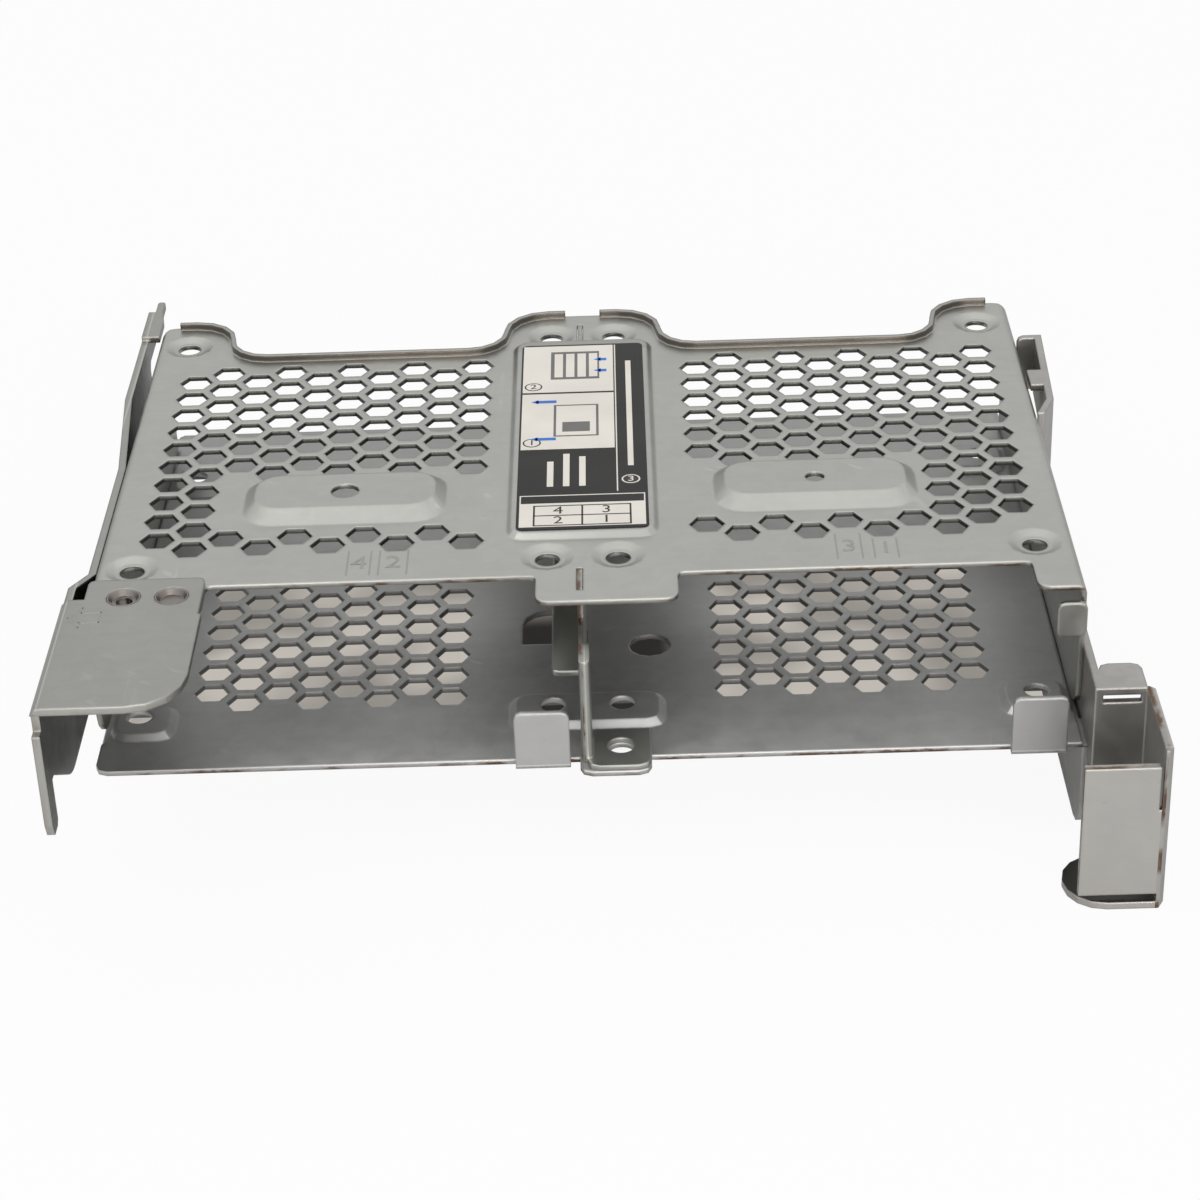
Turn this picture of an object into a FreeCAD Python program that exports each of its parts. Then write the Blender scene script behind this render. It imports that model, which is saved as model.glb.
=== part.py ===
import FreeCAD, Part
import math
import os

import Sketcher

# Driving sizes in millimetres. The cage frame they are given in has X to the right, Y to the rear and
# Z up, with its zero midway along the front row of the upper drive holes, on the rim of those holes.
SIZES = (
    # Sheets and bends
    ("sheet", 0.8),
    ("bracket_sheet", 1.2),
    ("bend_inside", 0.5),
    ("cut_round", 1.0),
    # Drives and their bottom mounting holes
    ("hole_span_x", 61.72),
    ("hole_span_y", 76.6),
    ("hole_radius", 1.85),
    ("bay_gap", 10.5),
    ("connector_reach", 14.0),
    ("seat_gap", 19.4),
    ("lower_offset", 8.2),
    # Top cover
    ("cover_width", 145.2),
    ("cover_shift", 0.2),
    ("front_tab_reach", 13.3),
    ("front_edge_reach", 5.7),
    ("left_tab_width", 17.0),
    ("right_tab_width", 7.0),
    ("centre_tab_left", 6.9),
    ("centre_tab_right", 13.9),
    ("tab_round", 1.8),
    ("ear_reach", 7.6),
    ("ear_side", 8.0),
    ("ear_round", 7.4),
    ("notch_reach", 6.1),
    ("notch_round", 5.9),
    ("rear_corner", 2.4),
    ("lip_rise", 1.1),
    ("lip_past_hole", 2.3),
    ("wall_rear_reach", 4.4),
    ("wall_corner", 5.0),
    ("dimple_depth", 0.6),
    ("dimple_radius", 3.7),
    ("dimple_wall", 0.4),
    ("dimple_run", 1.45),
    ("slit_width", 0.95),
    ("slit_front_start", 10.2),
    ("slit_length", 6.4),
    ("slit_rear_start", 2.6),
    ("upper_stop_width", 4.3),
    ("upper_stop_top", 1.5),
    ("upper_stop_height", 5.7),
    # Raised pads of the cover
    ("pad_length", 31.2),
    ("pad_depth", 15.4),
    ("pad_rise", 1.5),
    ("pad_round", 4.8),
    ("pad_front_slope", 3.0),
    ("pad_side_slope", 1.8),
    ("pad_centre_y", 19.6),
    ("pad_shift_x", 0.4),
    ("pad_hole_y", 19.9),
    ("pad_hole_left", 2.2),
    ("pad_hole_right", 1.5),
    ("label_pad_width", 23.1),
    ("label_pad_front", 5.1),
    ("label_pad_length", 68.4),
    ("label_pad_rise", 0.8),
    ("label_pad_round", 2.6),
    ("label_margin", 1.5),
    ("label_rear_margin", 2.7),
    ("label_thickness", 0.12),
    # Honeycomb
    ("cell_pitch", 6.0),
    ("cell_flats", 4.7),
    ("cover_cells_left_x", 64.25),
    ("cover_cells_right_x", 18.75),
    ("cover_cells_rear_y", 65.5),
    ("floor_cells_left_x", 57.1),
    ("floor_cells_right_x", 21.8),
    ("floor_cells_ahead", 4.8),
    # Bottom plate
    ("floor_pad_rise", 1.0),
    ("floor_pad_ahead", 5.5),
    ("floor_pad_behind", 4.1),
    ("floor_pad_half", 11.7),
    ("floor_side_pad", 5.6),
    ("floor_pad_round", 2.4),
    ("floor_rear_reach", 18.0),
    ("floor_lip_drop", 2.2),
    ("floor_flange_drop", 3.4),
    ("floor_flange_ahead", 5.8),
    ("floor_edge_back", 0.9),
    ("floor_edge_inset", 0.3),
    ("floor_side_corner", 5.0),
    ("floor_side_rear", 30.0),
    ("lower_stop_width", 8.0),
    ("lower_stop_height", 8.8),
    ("lower_stop_centre_x", 6.5),
    ("lower_stop_right_x", 65.5),
    ("foot_tab_left", 1.1),
    ("foot_tab_right", 9.3),
    ("foot_tab_reach", 3.0),
    ("foot_hole_radius", 1.95),
    ("foot_hole_x", 4.93),
    ("foot_hole_behind", 2.6),
    ("access_hole_radius", 3.2),
    ("access_hole_x", 9.6),
    ("access_hole_y", 18.0),
    ("window_left", 10.1),
    ("window_right", 1.5),
    ("window_front", 19.3),
    ("window_depth", 10.0),
    ("window_round", 4.0),
    ("floor_slit_y", 15.2),
    ("floor_slit_length", 7.6),
    # Centre divider
    ("divider_right_x", 0.05),
    ("divider_step_drop", 4.2),
    ("hem_ahead", 0.6),
    ("hem_depth", 5.5),
    ("slit_clearance", 0.08),
    ("shelf_drop", 10.4),
    ("shelf_width", 4.1),
    ("shelf_length", 35.0),
    ("foot_reach", 2.8),
    ("foot_depth", 10.0),
    # Left bracket
    ("wing_left_x", 76.0),
    ("wing_right_x", 55.3),
    ("wing_step", 0.4),
    ("wing_rear_y", 5.2),
    ("wing_step_y", 15.7),
    ("wing_front_y", 40.4),
    ("wing_round", 8.0),
    ("side_gap_y", 10.7),
    ("left_wall_drop", 20.2),
    ("left_wall_tail_drop", 25.4),
    ("tail_start_y", 6.0),
    ("left_arc_ahead_y", 36.5),
    ("left_arc_height", 7.8),
    ("left_arc_radius", 9.0),
    ("finger_top", 2.8),
    ("finger_set_back", 1.5),
    ("finger_tip", 19.6),
    ("finger_taper", 2.0),
    ("joggle_start_y", 3.7),
    ("joggle_length", 4.0),
    ("flare_start_y", 34.0),
    ("flare_length", 24.8),
    ("flare_out", 2.2),
    ("hook_start_y", 81.2),
    ("hook_length", 10.2),
    ("hook_tip_length", 4.0),
    ("hook_tip_width", 1.3),
    # Rivets
    ("rivet_left_x", 66.7),
    ("rivet_right_x", 59.7),
    ("rivet_y", 10.4),
    ("rivet_head_radius", 2.5),
    ("rivet_shank_radius", 1.8),
    ("rivet_bore_radius", 1.25),
    ("rivet_rim", 0.2),
    ("rivet_clearance", 0.05),
    # Right bracket
    ("plate_top_drop", 10.0),
    ("base_drop", 37.2),
    ("plate_bottom_drop", 33.0),
    ("plate_front_y", 20.0),
    ("plate_rear_y", 50.0),
    ("plate_corner", 5.0),
    ("web_bottom_drop", 24.0),
    ("post_back_y", 24.6),
    ("post_front_y", 40.5),
    ("post_right_x", 81.5),
    ("post_top_drop", 10.5),
    ("face_left_x", 69.2),
    ("face_top_drop", 13.2),
    ("face_bottom_drop", 34.7),
    ("face_slit", 0.4),
    ("face_slit_drop", 20.3),
    ("foot_left_x", 67.8),
    ("foot_rear_y", 28.6),
    ("top_flange_rear_y", 17.7),
    ("top_flange_round", 1.5),
    ("post_slot_height", 1.2),
    ("post_slot_width", 5.5),
    ("right_flare_start_y", 42.0),
    ("right_flare_length", 5.0),
    ("right_flare_out", 3.2),
    ("right_flare_lean", 1.1),
    ("right_tail_rear_y", 71.0),
    ("right_tail_drop", 9.0),
    ("right_tab_start_y", 52.2),
    ("right_tab_length", 5.5),
    ("tab_to_wall", 0.3),
)

LEFT = -1
RIGHT = 1

# Facets that stand for a quarter round, and sides of a hole that nothing is fitted to
SMALL = 2
MEDIUM = 3
LARGE = 4
HOLE_SIDES = 12

# Rows and columns of each bay's honeycomb, and the room in mm that a cell keeps to an edge
COVER_ROWS = 11
COVER_COLUMNS = 10
FLOOR_ROWS = 6
FLOOR_COLUMNS = 8
CELL_ROOM = 1.0

# Shares of a size: how far a cut runs past a round, how far a pressed pad's hollow and crown follow its
# slope, a bend that nearly doubles the sheet, a round end that keeps a short flat, and a coined edge
PAST_ROUND = 1.5
PRESS_SHARE = 0.6
HEM_SHARE = 0.95
END_SHARE = 0.48
TIP_SHARE = 0.4
ARC_SHARE = 0.6
COIN_SHARE = 0.6


class Dim:
    """A length that carries both its number and the sheet expression that gives it."""

    def __init__(self, value, text):
        self.value = value
        self.text = text

    @staticmethod
    def of(item):
        return item if isinstance(item, Dim) else Dim(float(item), repr(float(item)))

    def __add__(self, other):
        other = Dim.of(other)
        return Dim(self.value + other.value, "(%s + %s)" % (self.text, other.text))

    def __sub__(self, other):
        other = Dim.of(other)
        return Dim(self.value - other.value, "(%s - %s)" % (self.text, other.text))

    def __mul__(self, factor):
        return Dim(self.value * factor, "(%s * %r)" % (self.text, float(factor)))

    def __neg__(self):
        return self * -1


class Sizes:
    """The driving sizes, read back from the sheet as bound lengths."""

    def __init__(self, sheet):
        for alias, _ in SIZES:
            setattr(self, alias, Dim(float(sheet.get(alias)), "Sizes." + alias))


def make_sheet(doc):
    """Spreadsheet with one named cell for each driving size."""
    sheet = doc.addObject("Spreadsheet::Sheet", "Sizes")
    for row, (alias, value) in enumerate(SIZES, start=1):
        sheet.set("A%d" % row, alias)
        sheet.set("B%d" % row, str(value))
        sheet.setAlias("B%d" % row, alias)
    doc.recompute()
    return sheet


doc = FreeCAD.newDocument("drive_cage")
s = Sizes(make_sheet(doc))

# Levels, rows and edges that several pieces share
hole_inner = s.bay_gap * 0.5
hole_outer = hole_inner + s.hole_span_x
bay_centre = hole_inner + s.hole_span_x * 0.5
lower_row = -s.lower_offset
cover_left = s.cover_shift - s.cover_width * 0.5
cover_right = s.cover_shift + s.cover_width * 0.5
wall_left = cover_left + s.sheet
wall_right = cover_right - s.sheet
cover_top = s.dimple_depth
cover_under = cover_top - s.sheet
seat_upper = -s.sheet
seat_lower = seat_upper - s.seat_gap
floor_top = seat_lower - s.floor_pad_rise
floor_under = floor_top - s.sheet
lower_stop_line = lower_row - s.connector_reach
upper_stop_line = -s.connector_reach
wall_rear = s.hole_span_y + s.wall_rear_reach
ear_rear = s.hole_span_y + s.ear_reach
notch_line = s.hole_span_y - s.notch_reach
floor_rear = s.hole_span_y + lower_row + s.floor_rear_reach
floor_front = lower_stop_line + s.floor_edge_back
floor_flange_front = lower_row - s.floor_flange_ahead
bend_outside = s.bend_inside + s.sheet
divider_left = -s.divider_right_x - s.sheet
divider_middle = -s.divider_right_x - s.sheet * 0.5
wing_top = cover_top + s.bracket_sheet
bracket_bend = s.bend_inside + s.bracket_sheet

# The part's own origin: bottom centre of its outer box
hook_rear = s.hook_start_y + s.hook_length + s.hook_tip_length
origin_x = (s.post_right_x - s.wing_left_x) * 0.5
origin_y = (hook_rear - s.post_front_y) * 0.5
origin_z = -s.base_drop


def make_body(name):
    """Body of one sheet-metal piece, carried from the cage frame to the part's own origin."""
    body = doc.addObject("PartDesign::Body", name)
    body.Label = name
    body.setExpression("Placement.Base.x", (-origin_x).text)
    body.setExpression("Placement.Base.y", (-origin_y).text)
    body.setExpression("Placement.Base.z", (-origin_z).text)
    return body


def sketch_at(body, role, level):
    """Sketch on one of the body's own origin planes, moved along the plane's normal to a level."""
    sketch = body.newObject("Sketcher::SketchObject", body.Name + "_sketch")
    plane = [item for item in body.Origin.OriginFeatures if item.Role == role][0]
    sketch.AttachmentSupport = [(plane, "")]
    sketch.MapMode = "FlatFace"
    sketch.setExpression("AttachmentOffset.Base.z", Dim.of(level).text)
    return sketch


def flat(body, level):
    """Sketch on a horizontal plane: its axes are X and Y, its normal is up."""
    return sketch_at(body, "XY_Plane", level)


def across(body, level):
    """Sketch on a plane across the depth: its axes are X and Z, its normal points to the front."""
    return sketch_at(body, "XZ_Plane", -Dim.of(level))


def along(body, level):
    """Sketch on a plane along the side: its axes are Y and Z, its normal points to the right."""
    return sketch_at(body, "YZ_Plane", level)


class Ties:
    """Constraints of one sketch, gathered first and then added in one go."""

    def __init__(self, sketch):
        self.sketch = sketch
        self.items = []

    def add(self, *terms):
        """One constraint between sketch elements."""
        self.items.append((Sketcher.Constraint(*terms), None))

    def size(self, size, *terms):
        """One dimension that the sheet gives."""
        size = Dim.of(size)
        self.items.append((Sketcher.Constraint(*terms, size.value), size.text))

    def place(self, geometry, position, x, y):
        """Hold a sketch point at a place that the sheet gives."""
        self.size(x, "DistanceX", -1, 1, geometry, position)
        self.size(y, "DistanceY", -1, 1, geometry, position)

    def commit(self):
        """Add the constraints to the sketch and bind the dimensions to the sheet."""
        first = self.sketch.ConstraintCount
        self.sketch.addConstraint([item for item, _ in self.items])
        for index, (_, text) in enumerate(self.items, start=first):
            if text is not None:
                self.sketch.setExpression("Constraints[%d]" % index, text)
        return self.sketch


def corner_arc(before, corner, after, radius):
    """Tangent points and centre of a round between two straight edges."""
    to_before = (before - corner).normalize()
    to_after = (after - corner).normalize()
    half_angle = to_before.getAngle(to_after) / 2
    reach = radius / math.tan(half_angle)
    centre = corner + (to_before + to_after).normalize() * (radius / math.sin(half_angle))
    return corner + to_before * reach, corner + to_after * reach, centre


def facets(before, corner, after, size):
    """Corners of the facets that stand for a round, each tied to the round's radius."""
    x, y, radius, count = size
    first, second, centre = corner_arc(before, corner, after, radius.value)
    start = math.atan2(first.y - centre.y, first.x - centre.x)
    sweep = math.atan2(second.y - centre.y, second.x - centre.x) - start
    sweep = (sweep + math.pi) % (2 * math.pi) - math.pi
    chain = []
    for step in range(count + 1):
        angle = start + sweep * step / count
        reach_x = (centre.x - corner.x) / radius.value + math.cos(angle)
        reach_y = (centre.y - corner.y) / radius.value + math.sin(angle)
        chain.append((Dim.of(x) + radius * reach_x, Dim.of(y) + radius * reach_y))
    return chain


def spots(corners):
    """Corners as plain points."""
    return [FreeCAD.Vector(Dim.of(c[0]).value, Dim.of(c[1]).value, 0) for c in corners]


def outline(sketch, shape):
    """Closed outline bound to the sheet.

    Its corners are (x, y), or (x, y, radius) for a true round, or (x, y, radius, count) for facets.
    """
    places = spots(shape)
    corners = []
    for i, corner in enumerate(shape):
        if len(corner) < 4:
            corners.append(corner)
        else:
            corners += facets(places[i - 1], places[i], places[(i + 1) % len(shape)], corner)
    points = spots(corners)
    count = len(points)
    rounds = {}
    for i, corner in enumerate(corners):
        if len(corner) == 3:
            rounds[i] = corner_arc(points[i - 1], points[i], points[(i + 1) % count], corner[2].value)
    ties = Ties(sketch)
    edges = []
    for i in range(count):
        j = (i + 1) % count
        start = rounds[i][1] if i in rounds else points[i]
        end = rounds[j][0] if j in rounds else points[j]
        edges.append(sketch.addGeometry(Part.LineSegment(start, end), False))
    for i, corner in enumerate(corners):
        before, after = edges[i - 1], edges[i]
        if i not in rounds:
            ties.add("Coincident", before, 2, after, 1)
            ties.place(after, 1, corner[0], corner[1])
            continue
        first, second, centre = rounds[i]
        turns_left = (points[i] - first).cross(second - points[i]).z > 0
        begin, finish = (first, second) if turns_left else (second, first)
        angles = [math.atan2(p.y - centre.y, p.x - centre.x) for p in (begin, finish)]
        circle = Part.Circle(centre, FreeCAD.Vector(0, 0, 1), corner[2].value)
        arc = sketch.addGeometry(Part.ArcOfCircle(circle, angles[0], angles[1]), False)
        ends = (1, 2) if turns_left else (2, 1)
        ties.add("Tangent", before, 2, arc, ends[0])
        ties.add("Tangent", after, 1, arc, ends[1])
        ties.size(corner[2], "Radius", arc)
        mark = sketch.addGeometry(Part.Point(points[i]), True)
        ties.place(mark, 1, corner[0], corner[1])
        ties.add("PointOnObject", mark, 1, before)
        ties.add("PointOnObject", mark, 1, after)
    return ties.commit()


def rectangle(sketch, x, y, *tail):
    """Rectangle between two X values and two Y values, with its corners round if a radius is given."""
    ring = ((0, 0), (1, 0), (1, 1), (0, 1))
    return outline(sketch, [(x[i], y[j]) + tail for i, j in ring])


def circles(sketch, centres, radius):
    """Circles of one radius at centres that the sheet gives."""
    ties = Ties(sketch)
    for x, y in centres:
        middle = FreeCAD.Vector(Dim.of(x).value, Dim.of(y).value, 0)
        circle = sketch.addGeometry(Part.Circle(middle, FreeCAD.Vector(0, 0, 1), radius.value), False)
        ties.place(circle, 3, x, y)
        ties.size(radius, "Radius", circle)
    return ties.commit()


def polygons(sketch, centres, reach, count):
    """Regular polygons with a corner to the right, at places worked out from the sheet."""
    turns = [2 * math.pi * step / count for step in range(count + 1)]
    sides = []
    for x, y in centres:
        points = [FreeCAD.Vector(x + reach * math.cos(a), y + reach * math.sin(a), 0) for a in turns]
        sides += [Part.LineSegment(a, b) for a, b in zip(points, points[1:])]
    sketch.addGeometry(sides, False)
    return sketch


def plain_holes(sketch, centres, radius):
    """Holes that nothing is fitted to, with as many sides as they need to look round."""
    return polygons(sketch, [(x.value, y.value) for x, y in centres], radius.value, HOLE_SIDES)


def hexagons(sketch, centres):
    """Hexagonal cells, with two flat sides to the front and rear."""
    return polygons(sketch, centres, s.cell_flats.value / math.sqrt(3), 6)


def pad(body, sketch, length):
    """Add material from a sketch, along its normal."""
    feature = body.newObject("PartDesign::Pad", body.Name + "_pad")
    feature.Profile = sketch
    feature.Refine = False
    feature.setExpression("Length", Dim.of(length).text)
    doc.recompute()
    return feature


def pocket(body, sketch, length, merge=False, run_in=None):
    """Remove material from a sketch, against its normal. It has to change the volume.

    The body's last pocket may merge the faces that lie in one plane. Walls that slope close in on the
    way down, by the length given.
    """
    before = body.Shape.Volume
    feature = body.newObject("PartDesign::Pocket", body.Name + "_pocket")
    feature.Profile = sketch
    feature.Refine = merge
    feature.setExpression("Length", Dim.of(length).text)
    if run_in is not None:
        feature.setExpression("TaperAngle", "-atan(%s / %s)" % (run_in.text, Dim.of(length).text))
    doc.recompute()
    if body.Shape.Volume >= before:
        raise RuntimeError("%s cuts nothing" % feature.Name)
    return feature


def edge_near(shape, place):
    """Name of the edge whose middle is nearest to a place in the cage frame."""
    target = FreeCAD.Vector(*[Dim.of(item).value for item in place])
    gaps = [edge.CenterOfMass.distanceToPoint(target) for edge in shape.Edges]
    return "Edge%d" % (gaps.index(min(gaps)) + 1)


def soften(body, kind, size, places):
    """Fillet or chamfer the edges nearest to the given places."""
    base = body.Tip
    local = base.Shape
    feature = body.newObject("PartDesign::" + kind, body.Name + "_" + kind.lower())
    feature.Base = (base, sorted({edge_near(local, place) for place in places}))
    feature.setExpression("Radius" if kind == "Fillet" else "Size", Dim.of(size).text)
    doc.recompute()
    return feature


def drive_holes(row):
    """Centres of one tier's mounting holes, for both bays."""
    columns = (-hole_outer, -hole_inner, hole_inner, hole_outer)
    return [(x, y) for y in (row, row + s.hole_span_y) for x in columns]


def cover_cells():
    """Honeycomb of the top cover: whole columns outside the oblong pads, broken ones beside them."""
    column_pitch = s.cell_pitch.value * math.sqrt(3) / 2
    pad_outer = bay_centre.value + s.pad_length.value / 2
    pad_front = s.pad_centre_y.value - s.pad_depth.value / 2
    pad_rear = s.pad_centre_y.value + s.pad_depth.value / 2
    cell_reach = s.cell_flats.value / math.sqrt(3)
    cells = []
    for first in (-s.cover_cells_left_x.value, s.cover_cells_right_x.value):
        for column in range(COVER_COLUMNS):
            x = first + column * column_pitch
            start = s.cover_cells_rear_y.value - (s.cell_pitch.value / 2 if column % 2 == 0 else 0)
            for row in range(COVER_ROWS):
                y = start - row * s.cell_pitch.value
                in_pad_rows = pad_front - cell_reach < y < pad_rear + CELL_ROOM
                on_pad = in_pad_rows and abs(x) - cell_reach < pad_outer
                near_hole = math.hypot(abs(x) - hole_outer.value, y) < s.dimple_radius.value + cell_reach
                if y > s.front_edge_reach.value - CELL_ROOM and not on_pad and not near_hole:
                    cells.append((x, y))
    return cells


def floor_cells():
    """Honeycomb of the bottom plate, staggered the same way on both sides of the divider."""
    column_pitch = s.cell_pitch.value * math.sqrt(3) / 2
    first_row = lower_row.value + s.floor_cells_ahead.value
    cells = []
    for first, odd in ((-s.floor_cells_left_x.value, 1), (s.floor_cells_right_x.value, 0)):
        for column in range(FLOOR_COLUMNS):
            x = first + column * column_pitch
            start = first_row + (0 if column % 2 == odd else s.cell_pitch.value / 2)
            cells += [(x, start + row * s.cell_pitch.value) for row in range(FLOOR_ROWS)]
    return cells


def build_top_cover():
    """Perforated top with its two side walls: one folded sheet."""
    body = make_body("top_cover")
    section = across(body, ear_rear)
    outline(section, [
        (cover_left, floor_top), (wall_left, floor_top), (wall_left, cover_under, s.bend_inside, SMALL),
        (wall_right, cover_under, s.bend_inside, SMALL), (wall_right, floor_top), (cover_right, floor_top),
        (cover_right, cover_top, bend_outside, MEDIUM), (cover_left, cover_top, bend_outside, MEDIUM)])
    pad(body, section, ear_rear + s.front_tab_reach)

    # Front edge between the tabs
    past = s.tab_round * PAST_ROUND
    tab_line = -s.front_tab_reach
    beyond = tab_line - past
    edge_line = -s.front_edge_reach
    for left, right in ((cover_left + s.left_tab_width, -s.centre_tab_left),
                        (s.centre_tab_right, cover_right - s.right_tab_width)):
        notch = flat(body, cover_top)
        outline(notch, [
            (left - past, beyond), (right + past, beyond), (right + past, tab_line),
            (right, tab_line, s.tab_round, MEDIUM), (right, edge_line, s.cut_round, SMALL),
            (left, edge_line, s.cut_round, SMALL), (left, tab_line, s.tab_round, MEDIUM),
            (left - past, tab_line)])
        pocket(body, notch, s.sheet)

    # Rear notches between the ears, with the turned-up lip that follows each notch and ear
    for bay in (LEFT, RIGHT):
        left = bay_centre * bay - s.hole_span_x * 0.5
        right = bay_centre * bay + s.hole_span_x * 0.5
        inner = ear_rear - s.sheet
        inner_round = s.ear_round - s.sheet
        foot_round = s.notch_round + s.sheet
        notch_left = left + s.ear_side
        notch_right = right - s.ear_side
        edge = [
            (notch_right, ear_rear, s.ear_round, LARGE), (notch_right, notch_line, s.notch_round, LARGE),
            (notch_left, notch_line, s.notch_round, LARGE), (notch_left, ear_rear, s.ear_round, LARGE)]
        lip = flat(body, cover_top)
        outline(lip, [
            (left - s.lip_past_hole, ear_rear), (left - s.lip_past_hole, inner),
            (notch_left - s.sheet, inner, inner_round, LARGE),
            (notch_left - s.sheet, notch_line - s.sheet, foot_round, LARGE),
            (notch_right + s.sheet, notch_line - s.sheet, foot_round, LARGE),
            (notch_right + s.sheet, inner, inner_round, LARGE),
            (right + s.lip_past_hole, inner), (right + s.lip_past_hole, ear_rear)] + edge)
        pad(body, lip, s.lip_rise)
        beyond = ear_rear + s.sheet
        notch = flat(body, cover_top)
        outline(notch, [(left, beyond), (right, beyond), (right, ear_rear)] + edge + [(left, ear_rear)])
        pocket(body, notch, s.sheet)

    # Rear corners, and side walls that are shorter than the top and round at the lower front corner
    past = s.rear_corner * PAST_ROUND
    for x, inwards in ((cover_left, past), (cover_right, -past)):
        corner = flat(body, cover_top)
        outline(corner, [
            (x, ear_rear - past), (x, ear_rear, s.rear_corner, MEDIUM), (x + inwards, ear_rear),
            (x + inwards, beyond), (x - inwards, beyond), (x - inwards, ear_rear - past)])
        pocket(body, corner, s.sheet + s.bend_inside)
    rear_cut = along(body, cover_right)
    rectangle(rear_cut, (wall_rear, ear_rear + s.sheet), (floor_top - s.sheet, cover_under - s.bend_inside))
    pocket(body, rear_cut, s.cover_width)
    front_cut = along(body, cover_right)
    ahead = tab_line - s.sheet
    below = floor_top - s.sheet
    past = s.wall_corner * PAST_ROUND
    outline(front_cut, [
        (ahead, below), (tab_line + past, below), (tab_line + past, floor_top),
        (tab_line, floor_top, s.wall_corner, MEDIUM), (tab_line, floor_top + past),
        (ahead, floor_top + past)])
    pocket(body, front_cut, s.cover_width)

    # Drive stops folded in from the front edge of each wall
    stop_low = -s.upper_stop_top - s.upper_stop_height
    for wall, x in ((wall_right, (cover_right - s.upper_stop_width, cover_right)),
                    (cover_left, (cover_left, cover_left + s.upper_stop_width))):
        stop = across(body, upper_stop_line)
        rectangle(stop, x, (stop_low, -s.upper_stop_top), s.cut_round, SMALL)
        pad(body, stop, s.sheet)
        link = along(body, wall)
        rectangle(link, (upper_stop_line, tab_line),
                  (stop_low + s.cut_round, -s.upper_stop_top - s.cut_round))
        pad(body, link, s.sheet)

    # Dished seats and holes for the upper drives
    holes = drive_holes(Dim.of(0))
    seats = flat(body, seat_upper)
    plain_holes(seats, holes, s.dimple_radius + s.dimple_wall)
    pad(body, seats, s.dimple_depth)
    dishes = flat(body, cover_top)
    plain_holes(dishes, holes, s.dimple_radius + s.dimple_wall)
    pocket(body, dishes, s.dimple_depth, run_in=s.dimple_run)

    # Oblong stiffening pads and the label pad, pressed up and hollow below
    through = flat(body, cover_top + s.pad_rise)
    for bay, hole in ((LEFT, s.pad_hole_left), (RIGHT, s.pad_hole_right)):
        middle = bay_centre * bay - s.pad_shift_x
        pressed_pad(body, cover_top, (middle - s.pad_length * 0.5, middle + s.pad_length * 0.5),
                    (s.pad_centre_y - s.pad_depth * 0.5, s.pad_centre_y + s.pad_depth * 0.5),
                    s.pad_rise, s.pad_round, LARGE, s.pad_side_slope, s.pad_front_slope)
        plain_holes(through, [(middle, s.pad_hole_y)], hole)
    pressed_pad(body, cover_top, (-s.label_pad_width * 0.5, s.label_pad_width * 0.5),
                (s.label_pad_front, s.label_pad_front + s.label_pad_length),
                s.label_pad_rise, s.label_pad_round, MEDIUM, s.label_pad_rise, s.label_pad_rise)

    # Holes of the pads, the drives and the rivets, and slits for the divider's upper tabs
    circles(through, holes, s.hole_radius)
    plain_holes(through, rivet_places(), s.rivet_shank_radius + s.rivet_clearance)
    half_slit = s.slit_width * 0.5
    sides = (divider_middle - half_slit, divider_middle + half_slit)
    for start in (-s.slit_front_start, s.hole_span_y - s.slit_rear_start):
        rectangle(through, sides, (start, start + s.slit_length))
    pocket(body, through, s.pad_rise + s.sheet + s.dimple_depth, merge=True)

    cells = flat(body, cover_top)
    hexagons(cells, cover_cells())
    pocket(body, cells, s.sheet)
    return body


def pressed_pad(body, level, x, y, rise, radius, count, side_slope, front_slope):
    """Pad pressed up out of a sheet whose top is at a level: sloping sides, hollow below."""
    base = flat(body, level)
    rectangle(base, x, y, radius, count)
    crown = flat(body, level + rise)
    rectangle(crown, (x[0] + side_slope, x[1] - side_slope), (y[0] + front_slope, y[1] - side_slope),
              radius - side_slope * PRESS_SHARE, count)
    loft = body.newObject("PartDesign::AdditiveLoft", body.Name + "_loft")
    loft.Profile = base
    loft.Sections = [crown]
    loft.Ruled = True
    loft.Refine = False
    doc.recompute()
    inset = side_slope + s.sheet * PRESS_SHARE
    front_inset = front_slope + s.sheet * PRESS_SHARE
    hollow = flat(body, level + rise - s.sheet)
    rectangle(hollow, (x[0] + inset, x[1] - inset), (y[0] + front_inset, y[1] - inset))
    pocket(body, hollow, rise)


def rivet_places():
    """Centres of the two rivets that join the left bracket to the cover."""
    return [(-s.rivet_left_x, -s.rivet_y), (-s.rivet_right_x, -s.rivet_y)]


def floor_pads():
    """X and Y limits of the raised seats of the bottom plate, front row and rear row."""
    limits = []
    for row in (lower_row, lower_row + s.hole_span_y):
        y = (row - s.floor_pad_ahead, row + s.floor_pad_behind)
        for x in ((wall_left + s.bend_inside, -hole_outer + s.floor_side_pad),
                  (-s.floor_pad_half, s.floor_pad_half),
                  (hole_outer - s.floor_side_pad, wall_right - s.bend_inside)):
            limits.append((x, y))
    return limits


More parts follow.
